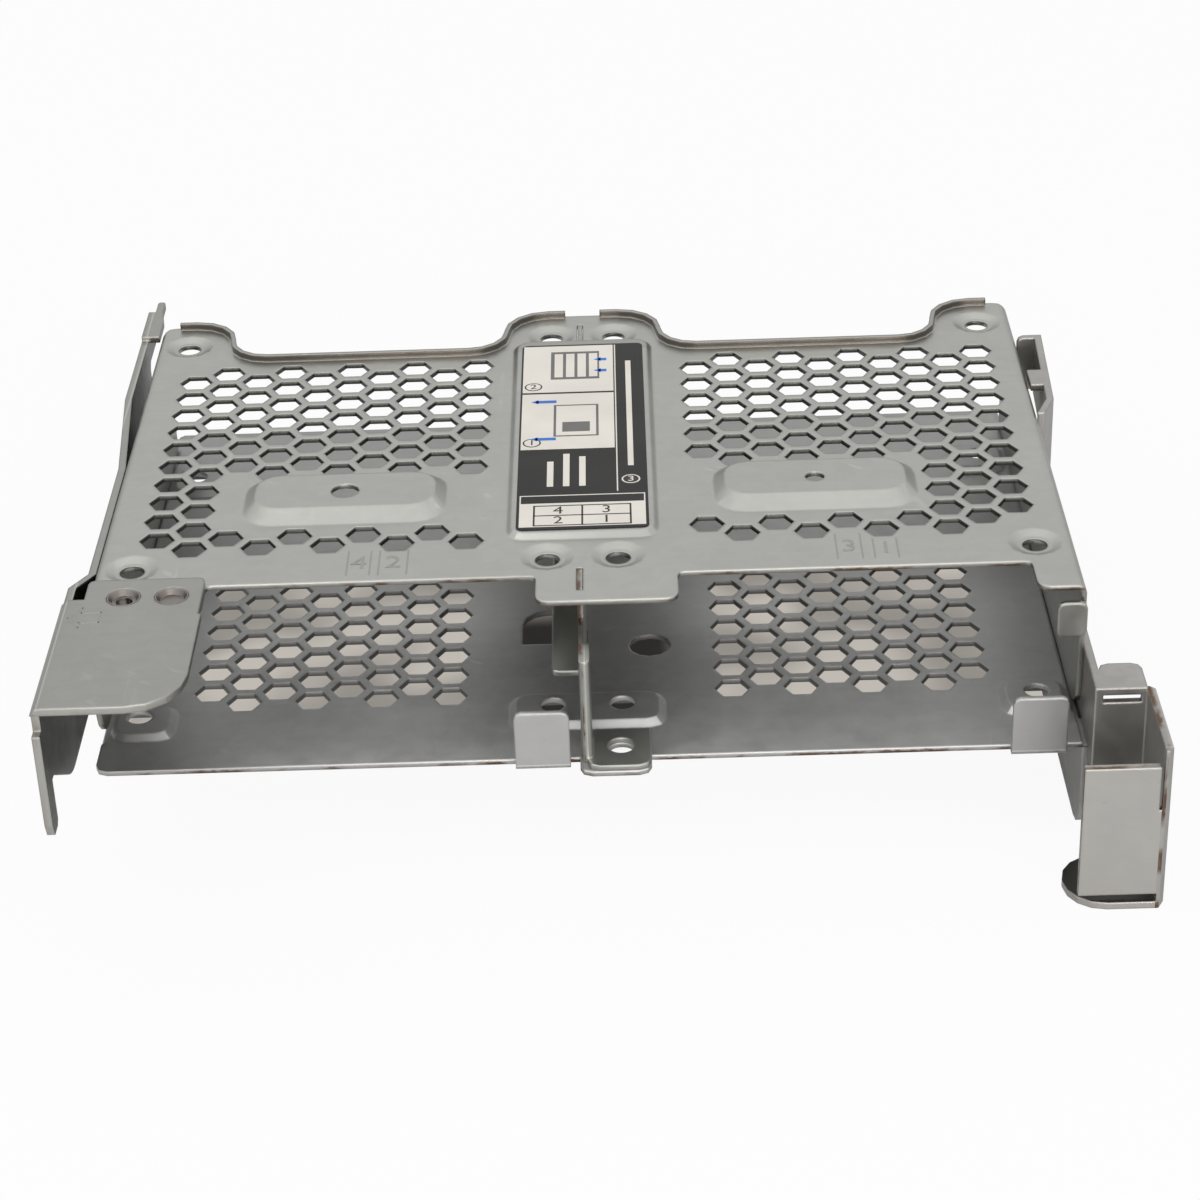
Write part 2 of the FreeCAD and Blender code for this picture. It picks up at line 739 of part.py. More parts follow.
def build_bottom_plate():
    """Perforated floor with a low flange on the left, a deep one on the right, and drive stops in front."""
    body = make_body("bottom_plate")
    section = across(body, floor_rear)
    drop = floor_under - s.floor_flange_drop
    outline(section, [
        (cover_left, drop), (wall_left, drop), (wall_left, floor_under, s.bend_inside, SMALL),
        (wall_right, floor_under, s.bend_inside, SMALL), (wall_right, -s.base_drop),
        (cover_right, -s.base_drop), (cover_right, floor_top, bend_outside, SMALL),
        (cover_left, floor_top, bend_outside, SMALL)])
    pad(body, section, floor_rear - floor_flange_front)

    # Front strip with the tab under the divider's foot and the deep flange's front end
    front = flat(body, floor_under)
    left_edge = cover_left + s.floor_edge_inset
    tab_front = lower_stop_line - s.foot_tab_reach
    inner_edge = floor_flange_front + s.cut_round
    outline(front, [
        (left_edge, floor_front, s.tab_round, SMALL), (-s.foot_tab_left, floor_front),
        (-s.foot_tab_left, tab_front, s.tab_round, SMALL), (s.foot_tab_right, tab_front, s.tab_round, SMALL),
        (s.foot_tab_right, floor_front), (wall_right, floor_front), (wall_right, inner_edge),
        (wall_left + s.bend_inside, inner_edge), (left_edge, floor_flange_front)])
    pad(body, front, s.sheet)
    flange = along(body, wall_right)
    corner = s.floor_side_corner
    outline(flange, [
        (floor_front, -s.base_drop, corner, MEDIUM), (floor_flange_front, -s.base_drop),
        (floor_flange_front, floor_top - s.bend_inside), (floor_front, floor_top - s.bend_inside)])
    pad(body, flange, s.sheet)
    rear_cut = along(body, cover_right)
    below = -s.base_drop - s.sheet
    flange_rear = floor_rear - s.floor_side_rear
    outline(rear_cut, [
        (flange_rear, below), (floor_rear + s.sheet, below), (floor_rear + s.sheet, drop),
        (flange_rear + corner, drop), (flange_rear, drop - corner)])
    pocket(body, rear_cut, s.sheet)

    # Rear edge turned down
    lip = flat(body, floor_under - s.floor_lip_drop)
    lip_ends = (wall_left + s.floor_side_pad, wall_right - s.floor_side_pad)
    rectangle(lip, lip_ends, (floor_rear - s.sheet, floor_rear))
    pad(body, lip, s.floor_lip_drop)

    # Drive stops folded up ahead of the front edge
    half = s.lower_stop_width * 0.5
    for middle in (-s.lower_stop_centre_x, s.lower_stop_right_x):
        root = flat(body, floor_under)
        rectangle(root, (middle - half, middle + half), (lower_stop_line, floor_front))
        pad(body, root, s.sheet)
        stop = across(body, lower_stop_line)
        top = floor_top + s.lower_stop_height
        outline(stop, [(middle - half, floor_under), (middle + half, floor_under),
                       (middle + half, top, s.cut_round, SMALL), (middle - half, top, s.cut_round, SMALL)])
        pad(body, stop, s.sheet)
        soften(body, "Chamfer", s.sheet * 0.5, [(middle, lower_stop_line - s.sheet, floor_under)])

    # Raised seats for the lower drives and their holes
    for x, y in floor_pads():
        rise = s.floor_pad_rise
        pressed_pad(body, floor_top, x, y, rise, s.floor_pad_round, SMALL, rise, rise)
    holes = flat(body, seat_lower)
    circles(holes, drive_holes(lower_row), s.hole_radius)
    pocket(body, holes, s.sheet + s.floor_pad_rise)

    # Foot hole, access hole, window and the slit for the divider's lower tab
    foot_hole = flat(body, floor_top)
    circles(foot_hole, [(s.foot_hole_x, lower_stop_line + s.foot_hole_behind)], s.foot_hole_radius)
    pocket(body, foot_hole, s.sheet)
    access = flat(body, floor_top)
    plain_holes(access, [(s.access_hole_x, lower_row + s.access_hole_y)], s.access_hole_radius)
    pocket(body, access, s.sheet)
    window = flat(body, floor_top)
    window_front = lower_row + s.window_front
    window_rear = window_front + s.window_depth
    outline(window, [(-s.window_left, window_front), (-s.window_right, window_front),
                     (-s.window_right, window_rear), (-s.window_left, window_rear, s.window_round, MEDIUM)])
    pocket(body, window, s.sheet)
    slit = flat(body, floor_top)
    half_slit = s.slit_width * 0.5
    slit_front = lower_row + s.floor_slit_y
    rectangle(slit, (divider_middle - half_slit, divider_middle + half_slit),
              (slit_front, slit_front + s.floor_slit_length))
    pocket(body, slit, s.sheet)

    cells = flat(body, floor_top)
    hexagons(cells, floor_cells())
    pocket(body, cells, s.sheet, merge=True)
    return body


def build_centre_divider():
    """Upright sheet between the bays: tabs in the slits, a hem and a foot in front, a lanced shelf."""
    body = make_body("centre_divider")
    hem_front = lower_stop_line - s.hem_ahead
    web_front = hem_front + s.sheet
    step_level = -s.divider_step_drop
    tab_front = -s.slit_front_start + s.slit_clearance
    tab_rear = s.hole_span_y - s.slit_rear_start + s.slit_clearance
    tab_length = s.slit_length - s.slit_clearance * 2
    low_front = lower_row + s.floor_slit_y + s.slit_clearance
    low_rear = low_front + s.floor_slit_length - s.slit_clearance * 2
    pads_front = lower_row - s.floor_pad_ahead - s.slit_clearance
    pads_behind = lower_row + s.floor_pad_behind + s.slit_clearance
    rear_pads = [edge + s.hole_span_y for edge in (pads_front, pads_behind)]
    web = along(body, divider_left)
    outline(web, [
        (web_front, floor_top), (pads_front, floor_top), (pads_front, seat_lower), (pads_behind, seat_lower),
        (pads_behind, floor_top), (low_front, floor_top), (low_front, floor_under), (low_rear, floor_under),
        (low_rear, floor_top), (rear_pads[0], floor_top), (rear_pads[0], seat_lower),
        (rear_pads[1], seat_lower), (rear_pads[1], floor_top), (wall_rear, floor_top),
        (wall_rear, cover_under), (tab_rear + tab_length, cover_under),
        (tab_rear + tab_length, cover_top), (tab_rear, cover_top),
        (tab_rear, cover_under), (tab_front + tab_length, cover_under), (tab_front + tab_length, cover_top),
        (tab_front, cover_top), (tab_front, step_level), (web_front, step_level)])
    pad(body, web, s.sheet)

    # Hem: the front edge folded back on itself, with the foot turned out of its second layer
    right_face = -s.divider_right_x + s.sheet
    hem = flat(body, floor_top)
    hem_round = s.sheet * HEM_SHARE
    hem_rear = hem_front + s.hem_depth
    outline(hem, [
        (divider_left, hem_front, hem_round, MEDIUM), (right_face, hem_front, hem_round, MEDIUM),
        (right_face, hem_rear), (divider_left, hem_rear)])
    pad(body, hem, step_level - floor_top)
    foot = flat(body, floor_top)
    foot_front = lower_stop_line - s.foot_reach
    foot_rear = foot_front + s.foot_depth
    outline(foot, [
        (-s.divider_right_x, foot_front, s.tab_round, SMALL),
        (s.foot_tab_right, foot_front, s.tab_round, SMALL), (s.foot_tab_right, foot_rear),
        (-s.divider_right_x, foot_rear)])
    pad(body, foot, s.sheet)
    hole = flat(body, floor_top + s.sheet)
    circles(hole, [(s.foot_hole_x, lower_stop_line + s.foot_hole_behind)], s.foot_hole_radius)
    pocket(body, hole, s.sheet)

    # Shelf lanced out of the web and bent to the left, which leaves a window above it
    shelf_front = upper_stop_line - s.sheet
    shelf_rear = shelf_front + s.shelf_length
    shelf = flat(body, -s.shelf_drop - s.sheet)
    shelf_left = divider_left - s.shelf_width
    outline(shelf, [(shelf_left, shelf_front, s.cut_round, SMALL), (divider_left, shelf_front),
                    (divider_left, shelf_rear), (shelf_left, shelf_rear, s.cut_round, SMALL)])
    pad(body, shelf, s.sheet)
    opening = along(body, -s.divider_right_x)
    rectangle(opening, (shelf_front + s.cut_round, shelf_rear - s.cut_round),
              (-s.shelf_drop, -s.shelf_drop + s.shelf_width))
    pocket(body, opening, s.sheet)
    return body


def build_left_bracket():
    """Wing on the cover's front corner, side wall with joggle and flare, front finger and rear hook."""
    body = make_body("left_bracket")
    outer = -s.wing_left_x
    against = cover_left - s.bracket_sheet
    joggle_rear = -s.joggle_start_y + s.joggle_length
    flare_rear = s.flare_start_y + s.flare_length
    flare_x = against - s.flare_out
    hook_end = s.hook_start_y + s.hook_length
    side_edge = cover_left
    right_edge = -s.wing_right_x
    step_edge = right_edge + s.wing_step
    wall_face = outer + s.bracket_sheet

    # Wing and front of the side wall, bent from one strip
    strip = across(body, -s.side_gap_y)
    outline(strip, [
        (outer, -s.left_wall_tail_drop), (wall_face, -s.left_wall_tail_drop),
        (wall_face, cover_top, s.bend_inside, SMALL), (step_edge, cover_top), (step_edge, wing_top),
        (outer, wing_top, bracket_bend, MEDIUM)])
    pad(body, strip, s.wing_front_y - s.side_gap_y)
    corner = flat(body, wing_top)
    ahead = -s.wing_front_y - s.sheet
    past = s.wing_round * PAST_ROUND
    outline(corner, [
        (step_edge + s.sheet, ahead), (step_edge + s.sheet, past - s.wing_front_y),
        (step_edge, past - s.wing_front_y), (step_edge, -s.wing_front_y, s.wing_round, LARGE),
        (step_edge - past, -s.wing_front_y), (step_edge - past, ahead)])
    pocket(body, corner, s.bracket_sheet)
    step = flat(body, wing_top)
    rectangle(step, (right_edge, step_edge + s.sheet), (-s.wing_step_y, -s.wing_rear_y))
    pocket(body, step, s.bracket_sheet)
    shoulder = flat(body, cover_top)
    outline(shoulder, [
        (side_edge, -s.side_gap_y), (right_edge, -s.side_gap_y),
        (right_edge, -s.wing_rear_y, s.cut_round, SMALL), (side_edge, -s.wing_rear_y, s.cut_round, SMALL)])
    pad(body, shoulder, s.bracket_sheet)

    # Rest of the side wall: in to the cage, along it and out again
    path = [(outer, -s.side_gap_y), (outer, -s.joggle_start_y), (against, joggle_rear),
            (against, s.flare_start_y), (flare_x, flare_rear), (flare_x, hook_end)]
    back = [(x + s.bracket_sheet, y) for x, y in reversed(path)]
    wall = flat(body, -s.left_wall_tail_drop)
    outline(wall, path + back)
    pad(body, wall, s.left_wall_tail_drop + cover_under)

    # Side profile of the wall: lower edge, finger and tail
    reach = s.wing_left_x + cover_left + s.bracket_sheet * 2
    cut_side = cover_left + s.bracket_sheet
    behind = hook_end + s.sheet
    low_cut = along(body, cut_side)
    below = -s.left_wall_tail_drop - s.sheet
    arc_front = -s.left_arc_ahead_y
    arc_rear = arc_front + s.left_arc_height + s.left_arc_radius * ARC_SHARE
    tail_front = s.tail_start_y
    tail_end = s.hook_start_y - s.bracket_sheet
    outline(low_cut, [
        (arc_front, below), (arc_front, -s.left_wall_drop + s.left_arc_height),
        (arc_front + s.bracket_sheet, -s.left_wall_drop + s.left_arc_height),
        (arc_rear, -s.left_wall_drop, s.left_arc_radius, MEDIUM),
        (tail_front, -s.left_wall_drop), (tail_front + s.cut_round, below)])
    pocket(body, low_cut, reach)
    finger_cut = along(body, cut_side)
    front = -s.wing_front_y
    outline(finger_cut, [
        (front - s.sheet, below), (arc_front + s.sheet, below), (arc_front + s.sheet, -s.finger_tip),
        (arc_front, -s.finger_tip), (arc_front, -s.finger_tip + s.sheet),
        (arc_front - s.sheet, -s.finger_tip), (front + s.sheet, -s.finger_tip),
        (front, -s.finger_tip + s.finger_taper), (front - s.sheet, -s.finger_tip + s.finger_taper)])
    pocket(body, finger_cut, reach)
    relief = along(body, cut_side)
    rectangle(relief, (front - s.sheet, front + s.finger_set_back), (-s.finger_top, cover_top))
    pocket(body, relief, reach)
    tail_cut = along(body, cut_side)
    outline(tail_cut, [
        (tail_end, below), (behind, below), (behind, -s.hook_tip_length),
        (tail_end + s.cut_round, -s.hook_tip_length), (tail_end, -s.hook_tip_length - s.cut_round)])
    pocket(body, tail_cut, reach)

    # Rear hook: a tongue bent in from the wall's top edge, with a narrow tip
    tongue = flat(body, cover_top - s.bracket_sheet)
    inner_x = cover_left - s.tab_to_wall
    tip_x = flare_x + s.bracket_sheet
    tip_round = s.hook_tip_width * TIP_SHARE
    outline(tongue, [
        (flare_x, s.hook_start_y), (inner_x, s.hook_start_y), (inner_x, hook_end - s.hook_tip_length),
        (tip_x + s.hook_tip_width, hook_end), (tip_x + s.hook_tip_width, hook_rear, tip_round, SMALL),
        (tip_x, hook_rear, tip_round, SMALL), (tip_x, hook_end), (flare_x, hook_end)])
    pad(body, tongue, s.bracket_sheet)
    rivets = flat(body, wing_top)
    plain_holes(rivets, rivet_places(), s.rivet_head_radius + s.rivet_clearance)
    pocket(body, rivets, s.bracket_sheet)
    return body


def drum(place, radius, low, high, top_radius=None):
    """Upright many-sided drum between two levels, straight or tapered."""
    rings = []
    for level, reach in ((low, radius), (high, top_radius or radius)):
        turns = [2 * math.pi * step / HOLE_SIDES for step in range(HOLE_SIDES + 1)]
        x, y = place[0].value, place[1].value
        rings.append(Part.makePolygon([FreeCAD.Vector(
            x + reach.value * math.cos(a), y + reach.value * math.sin(a), level.value) for a in turns]))
    return Part.makeLoft(rings, True, True)


def build_bracket_rivets():
    """Two dished rivets through the wing and the cover: the left one is open, the right one is blind."""
    solids = []
    dish_floor = cover_top + s.sheet * 0.5
    for place, open_bore in zip(rivet_places(), (True, False)):
        rivet = drum(place, s.rivet_shank_radius, cover_under, cover_top)
        rivet = rivet.fuse(drum(place, s.rivet_head_radius, cover_top, wing_top))
        dish_rim = s.rivet_head_radius - s.rivet_rim
        rivet = rivet.cut(drum(place, s.rivet_shank_radius, dish_floor, wing_top, dish_rim))
        if open_bore:
            rivet = rivet.cut(drum(place, s.rivet_bore_radius, cover_under, dish_floor))
        solids.append(rivet.removeSplitter().Solids[0])
    feature = doc.addObject("Part::Feature", "bracket_rivets")
    feature.Label = "bracket_rivets"
    feature.Shape = Part.makeCompound(solids)
    feature.Placement.Base = FreeCAD.Vector(-origin_x.value, -origin_y.value, -origin_z.value)
    return feature


def build_right_bracket():
    """Side plate below the cage with the boxed front post, its foot, and the flared rear end."""
    body = make_body("right_bracket")
    inside = cover_right
    thick = s.bracket_sheet
    flare_x = inside + s.right_flare_out
    flare_front = s.right_flare_start_y
    flare_rear = flare_front + s.right_flare_length
    path = [(inside, -s.post_back_y), (inside, flare_front), (flare_x - s.right_flare_lean, flare_rear),
            (flare_x, s.right_tail_rear_y)]
    back = [(x + thick, y) for x, y in reversed(path)]
    plate = flat(body, -s.plate_bottom_drop)
    outline(plate, path + back)
    pad(body, plate, s.plate_bottom_drop + cover_top)

    # Side profile of the plate: low in front, high at the flared rear end
    reach = s.post_right_x - inside + s.sheet
    outside = s.post_right_x + s.sheet
    ahead = -s.post_back_y - s.sheet
    behind = s.right_tail_rear_y + s.sheet
    top_cut = along(body, outside)
    rectangle(top_cut, (ahead, flare_front), (-s.plate_top_drop, cover_top + s.sheet))
    pocket(body, top_cut, reach)
    front_cut = along(body, outside)
    below = -s.plate_bottom_drop - s.sheet
    past = s.plate_corner * PAST_ROUND - s.plate_front_y
    outline(front_cut, [
        (ahead, below), (past, below), (past, -s.plate_bottom_drop),
        (-s.plate_front_y, -s.plate_bottom_drop, s.plate_corner, SMALL),
        (-s.plate_front_y, -s.web_bottom_drop), (ahead, -s.web_bottom_drop)])
    pocket(body, front_cut, reach)
    rear_cut = along(body, outside)
    outline(rear_cut, [
        (s.plate_rear_y, below), (behind, below), (behind, -s.right_tail_drop),
        (s.plate_rear_y + s.plate_corner, -s.right_tail_drop),
        (s.plate_rear_y, -s.right_tail_drop - s.plate_corner)])
    pocket(body, rear_cut, reach)

    # Tongue and closing flange at the flared rear end
    inner_x = inside + s.tab_to_wall
    tab_under = cover_top - thick
    tongue = flat(body, tab_under)
    rectangle(tongue, (inner_x, flare_x - s.right_flare_lean * 0.5),
              (s.right_tab_start_y, s.right_tab_start_y + s.right_tab_length))
    pad(body, tongue, thick)
    closing = across(body, s.right_tail_rear_y)
    outline(closing, [(inner_x, -s.right_tail_drop), (flare_x, -s.right_tail_drop), (flare_x, cover_top),
                      (inner_x, cover_top, s.cut_round, SMALL)])
    pad(body, closing, thick)

    # Post: back wall, right wall and front face bent one after the other
    back_wall = across(body, -s.post_back_y + thick)
    rectangle(back_wall, (inside, s.post_right_x), (-s.web_bottom_drop, -s.post_top_drop))
    pad(body, back_wall, thick)
    right_wall = along(body, s.post_right_x - thick)
    outline(right_wall, [
        (-s.post_front_y, -s.base_drop), (-s.foot_rear_y, -s.base_drop),
        (-s.foot_rear_y, -s.web_bottom_drop), (-s.post_back_y + thick, -s.web_bottom_drop),
        (-s.post_back_y + thick, -s.post_top_drop), (-s.post_front_y, -s.post_top_drop)])
    pad(body, right_wall, thick)
    face = across(body, -s.post_front_y + thick)
    rectangle(face, (s.face_left_x, s.post_right_x - thick), (-s.face_bottom_drop, -s.face_top_drop))
    pad(body, face, thick)
    slit = across(body, -s.post_front_y)
    rectangle(slit, (s.post_right_x - thick - s.face_slit, s.post_right_x - thick),
              (-s.face_slit_drop, -s.face_top_drop + s.sheet))
    pocket(body, slit, thick)

    # Foot turned in from the right wall, and the flange turned back from the back wall
    foot = flat(body, -s.base_drop)
    foot_round = (s.post_front_y - s.foot_rear_y) * END_SHARE
    outline(foot, [(s.foot_left_x, -s.post_front_y, foot_round, LARGE), (s.post_right_x, -s.post_front_y),
                   (s.post_right_x, -s.foot_rear_y), (s.foot_left_x, -s.foot_rear_y, foot_round, LARGE)])
    pad(body, foot, thick)
    flange = flat(body, -s.plate_top_drop - thick)
    flange_left = inside + thick
    flange_right = s.post_right_x - thick
    outline(flange, [(flange_left, -s.post_back_y), (flange_right, -s.post_back_y),
                     (flange_right, -s.top_flange_rear_y, s.top_flange_round, SMALL),
                     (flange_left, -s.top_flange_rear_y, s.top_flange_round, SMALL)])
    pad(body, flange, thick)
    slot = across(body, -s.post_back_y)
    slot_top = -s.plate_top_drop - thick
    rectangle(slot, (flange_left, flange_left + s.post_slot_width), (slot_top - s.post_slot_height, slot_top))
    pocket(body, slot, thick)
    soften(body, "Chamfer", thick * COIN_SHARE, [
        (s.post_right_x, -s.post_front_y, (-s.base_drop - s.post_top_drop) * 0.5),
        (s.post_right_x, -s.post_back_y + thick, (-s.web_bottom_drop - s.post_top_drop) * 0.5),
        (s.post_right_x, (-s.post_front_y - s.foot_rear_y) * 0.5, -s.base_drop)])
    return body


def build_label():
    """Thin printed film on the cover's label pad."""
    body = make_body("label")
    film = flat(body, cover_top + s.label_pad_rise)
    half = s.label_pad_width * 0.5 - s.label_margin
    rear = s.label_pad_front + s.label_pad_length
    front = s.label_pad_front + s.label_margin
    rectangle(film, (-half, half), (front, rear - s.label_rear_margin), s.cut_round, MEDIUM)
    pad(body, film, s.label_thickness)
    return body


pieces = [build_top_cover(), build_bottom_plate(), build_centre_divider(), build_left_bracket(),
          build_bracket_rivets(), build_right_bracket(), build_label()]
doc.recompute()

for item in doc.Objects:
    if "Invalid" in item.State or "Error" in item.State:
        raise RuntimeError("%s failed: %s" % (item.Name, item.State))
for piece in pieces:
    if piece.Shape.isNull() or not piece.Shape.isValid():
        raise RuntimeError("%s has no valid shape" % piece.Label)

os.makedirs("parts", exist_ok=True)
for piece in pieces:
    piece.Shape.exportStep("parts/%s.step" % piece.Label)
    print(piece.Label, "solids", len(piece.Shape.Solids), "volume", round(piece.Shape.Volume, 2))
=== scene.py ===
"""Looks for a hard drive cage of folded, zinc-plated sheet steel.

Places are in the frame of its solids and in metres, or in millimetres where a docstring says so.
"""

import logging
import math
from dataclasses import dataclass, field
from enum import Enum

import bmesh
import bpy
from mathutils import Matrix, Vector


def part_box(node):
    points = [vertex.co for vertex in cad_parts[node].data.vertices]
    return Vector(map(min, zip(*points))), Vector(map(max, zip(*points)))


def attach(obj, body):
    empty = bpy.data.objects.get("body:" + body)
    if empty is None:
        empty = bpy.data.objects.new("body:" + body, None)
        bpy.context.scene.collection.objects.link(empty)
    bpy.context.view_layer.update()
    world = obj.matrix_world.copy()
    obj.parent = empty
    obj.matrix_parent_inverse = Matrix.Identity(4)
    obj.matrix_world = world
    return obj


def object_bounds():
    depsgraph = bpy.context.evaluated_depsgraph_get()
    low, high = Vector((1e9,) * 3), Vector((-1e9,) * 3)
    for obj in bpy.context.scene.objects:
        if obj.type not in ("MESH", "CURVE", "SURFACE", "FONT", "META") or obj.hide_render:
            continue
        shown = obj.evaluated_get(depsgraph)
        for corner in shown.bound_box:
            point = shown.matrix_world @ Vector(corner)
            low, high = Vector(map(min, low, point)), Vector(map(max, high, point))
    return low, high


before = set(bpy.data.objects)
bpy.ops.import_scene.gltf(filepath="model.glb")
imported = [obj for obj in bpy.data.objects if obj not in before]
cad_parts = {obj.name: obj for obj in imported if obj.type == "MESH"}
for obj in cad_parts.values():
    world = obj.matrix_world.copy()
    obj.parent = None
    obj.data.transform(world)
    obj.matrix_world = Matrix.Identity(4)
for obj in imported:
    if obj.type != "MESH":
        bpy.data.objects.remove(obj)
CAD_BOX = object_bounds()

LOG = logging.getLogger("hard_drive_cage")
MM = 0.001
BODY = "root"
NOISE_MIDDLE = 0.5
Colour = tuple[float, float, float]
Paint = tuple[float, float, float, float]
Box = tuple[float, float, float, float]
Pair = tuple[float, float]
Socket = bpy.types.NodeSocket


class Axis(Enum):
    """Direction through a sheet's thickness."""

    X = 0
    Y = 1
    Z = 2


class Slot(Enum):
    """Names of material slots."""

    CAGE = "cage_steel"
    BRACKET = "bracket_steel"
    FILM = "label_film"


class Ink(Enum):
    """Inks of the label, in the order of its materials."""

    WHITE = 0
    BLACK = 1
    BLUE = 2
    GREY = 3


@dataclass(frozen=True)
class CageFrame:
    """The cage's own frame, in millimetres.

    It starts in the middle of the cover's front row of holes, at the level of the drive seats.

    Args:
        origin: That point in the frame of the solids, in metres.
    """

    origin: Vector

    def at(self, x: float, y: float, z: float) -> Vector:
        """A place in the frame of the solids, in metres."""
        return self.origin + Vector((x, y, z)) * MM

    def depth(self, y: float) -> float:
        """A depth in the frame of the solids, in metres."""
        return self.at(0, y, 0).y

    def height(self, z: float) -> float:
        """A height in the frame of the solids, in metres."""
        return self.at(0, 0, z).z


def cage_frame() -> CageFrame:
    """Find the cage's own origin from the label, which sits in the middle of the cover.

    Returns:
        The frame in which this script's millimetre sizes are written.
    """
    label_front = 6.6
    label_under = 1.4
    low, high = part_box("label")
    return CageFrame(Vector(((low.x + high.x) / 2, low.y - label_front * MM, low.z - label_under * MM)))


@dataclass(frozen=True)
class Pattern:
    """A noise pattern.

    Args:
        scale: How many of its features lie on a metre.
        detail: How many finer layers it has.
        stretch: Share of that scale along each axis, small where the pattern is drawn out.
    """

    scale: float
    detail: float
    stretch: Colour = (1.0, 1.0, 1.0)


def add_node(tree: bpy.types.NodeTree, kind: str, **settings: object) -> bpy.types.Node:
    """Add a node to a tree and set its properties.

    Args:
        tree: The tree.
        kind: Type of the node.
        settings: Properties of the node.

    Returns:
        The new node.
    """
    node = tree.nodes.new(kind)
    for name, value in settings.items():
        setattr(node, name, value)
    return node


class Desk:
    """A shader tree with short calls for the nodes that the finishes share."""

    FIRST_COLOUR = 6
    SECOND_COLOUR = 7
    MIXED_COLOUR = 2

    def __init__(self, tree: bpy.types.NodeTree) -> None:
        """Keep the tree that the nodes go into."""
        self.tree = tree

    def add(self, kind: str, **settings: object) -> bpy.types.Node:
        """Add a node, named without the ShaderNode prefix."""
        return add_node(self.tree, "ShaderNode" + kind, **settings)

    def feed(self, socket: Socket, value: object) -> None:
        """Set a socket to a plain value, or join it to another socket.

        Args:
            socket: The socket to feed.
            value: A plain value or a socket.
        """
        if isinstance(value, Socket):
            self.tree.links.new(value, socket)
        else:
            socket.default_value = value

    def math(self, operation: str, first: object, second: object = 0.0) -> Socket:
        """One sum on one or two values.

        Args:
            operation: Name of the sum.
            first: First value.
            second: Second value, where the sum takes two.

        Returns:
            The result.
        """
        node = self.add("Math", operation=operation)
        self.feed(node.inputs[0], first)
        self.feed(node.inputs[1], second)
        return node.outputs[0]

    def product(self, first: object, *others: object) -> Socket:
        """Product of two or more values.

        Args:
            first: First value.
            others: The values to multiply it by.

        Returns:
            The product.
        """
        for other in others:
            first = self.math("MULTIPLY", first, other)
        return first

    def about(self, value: object, middle: float, share: object) -> Socket:
        """A share of how far a value lies from its middle."""
        return self.product(self.math("SUBTRACT", value, middle), share)

    def spread(self, value: object, low: object, high: object, to_low: float, to_high: float) -> Socket:
        """Carry a value smoothly from one range to another, held at the ends.

        Args:
            value: The value.
            low: Low end of its range.
            high: High end of its range.
            to_low: What the low end becomes.
            to_high: What the high end becomes.

        Returns:
            The new value.
        """
        node = self.add("MapRange", interpolation_type="SMOOTHSTEP")
        for socket, item in zip(node.inputs, (value, low, high, to_low, to_high)):
            self.feed(socket, item)
        return node.outputs[0]

    def mix(self, factor: object, first: object, second: object, blend: str = "MIX") -> Socket:
        """Blend two colours.

        Args:
            factor: Share of the second colour.
            first: First colour.
            second: Second colour.
            blend: How they blend.

        Returns:
            The blended colour.
        """
        node = self.add("Mix", data_type="RGBA", blend_type=blend)
        self.feed(node.inputs[0], factor)
        self.feed(node.inputs[self.FIRST_COLOUR], first)
        self.feed(node.inputs[self.SECOND_COLOUR], second)
        return node.outputs[self.MIXED_COLOUR]

    def split(self, vector: object) -> tuple[Socket, ...]:
        """Split a vector into its parts along the three axes.

        Args:
            vector: The vector.

        Returns:
            Its three parts.
        """
        node = self.add("SeparateXYZ")
        self.feed(node.inputs[0], vector)
        return tuple(node.outputs)

    def noise(self, vector: object, pattern: Pattern) -> Socket:
        """Noise between 0 and 1.

        Args:
            vector: Place on the surface.
            pattern: Scale, detail and stretch of the noise.

        Returns:
            The noise at that place.
        """
        mapping = self.add("Mapping")
        self.feed(mapping.inputs["Vector"], vector)
        mapping.inputs["Scale"].default_value = pattern.stretch
        node = self.add("TexNoise")
        self.feed(node.inputs["Vector"], mapping.outputs[0])
        node.inputs["Scale"].default_value = pattern.scale
        node.inputs["Detail"].default_value = pattern.detail
        return node.outputs["Fac"]

    def group(self, tree: bpy.types.NodeTree, **values: object) -> bpy.types.Node:
        """Place a node group.

        Args:
            tree: The group's tree.
            values: A plain value or a socket for each input.

        Returns:
            The node that holds the group.
        """
        node = self.add("Group", node_tree=tree)
        for name, value in values.items():
            self.feed(node.inputs[name], value)
        return node


def toned(colour: Colour, share: float = 1.0) -> Paint:
    """A colour made paler or darker by a share, ready for a socket."""
    return (*(min(1.0, part * share) for part in colour), 1.0)


def new_group(name: str, inputs: dict[str, str], outputs: dict[str, str]) -> tuple[Desk, dict, dict]:
    """Start a shader node group with named sockets.

    Args:
        name: Name of the group.
        inputs: Socket kind for each input name.
        outputs: Socket kind for each output name.

    Returns:
        The group's desk, its input sockets and its output sockets, by name.
    """
    tree = bpy.data.node_groups.new(name, "ShaderNodeTree")
    for label, kind in inputs.items():
        tree.interface.new_socket(name=label, in_out="INPUT", socket_type="NodeSocket" + kind)
    for label, kind in outputs.items():
        tree.interface.new_socket(name=label, in_out="OUTPUT", socket_type="NodeSocket" + kind)
    source = tree.nodes.new("NodeGroupInput")
    sink = tree.nodes.new("NodeGroupOutput")
    given = {label: source.outputs[label] for label in inputs}
    asked = {label: sink.inputs[label] for label in outputs}
    return Desk(tree), given, asked


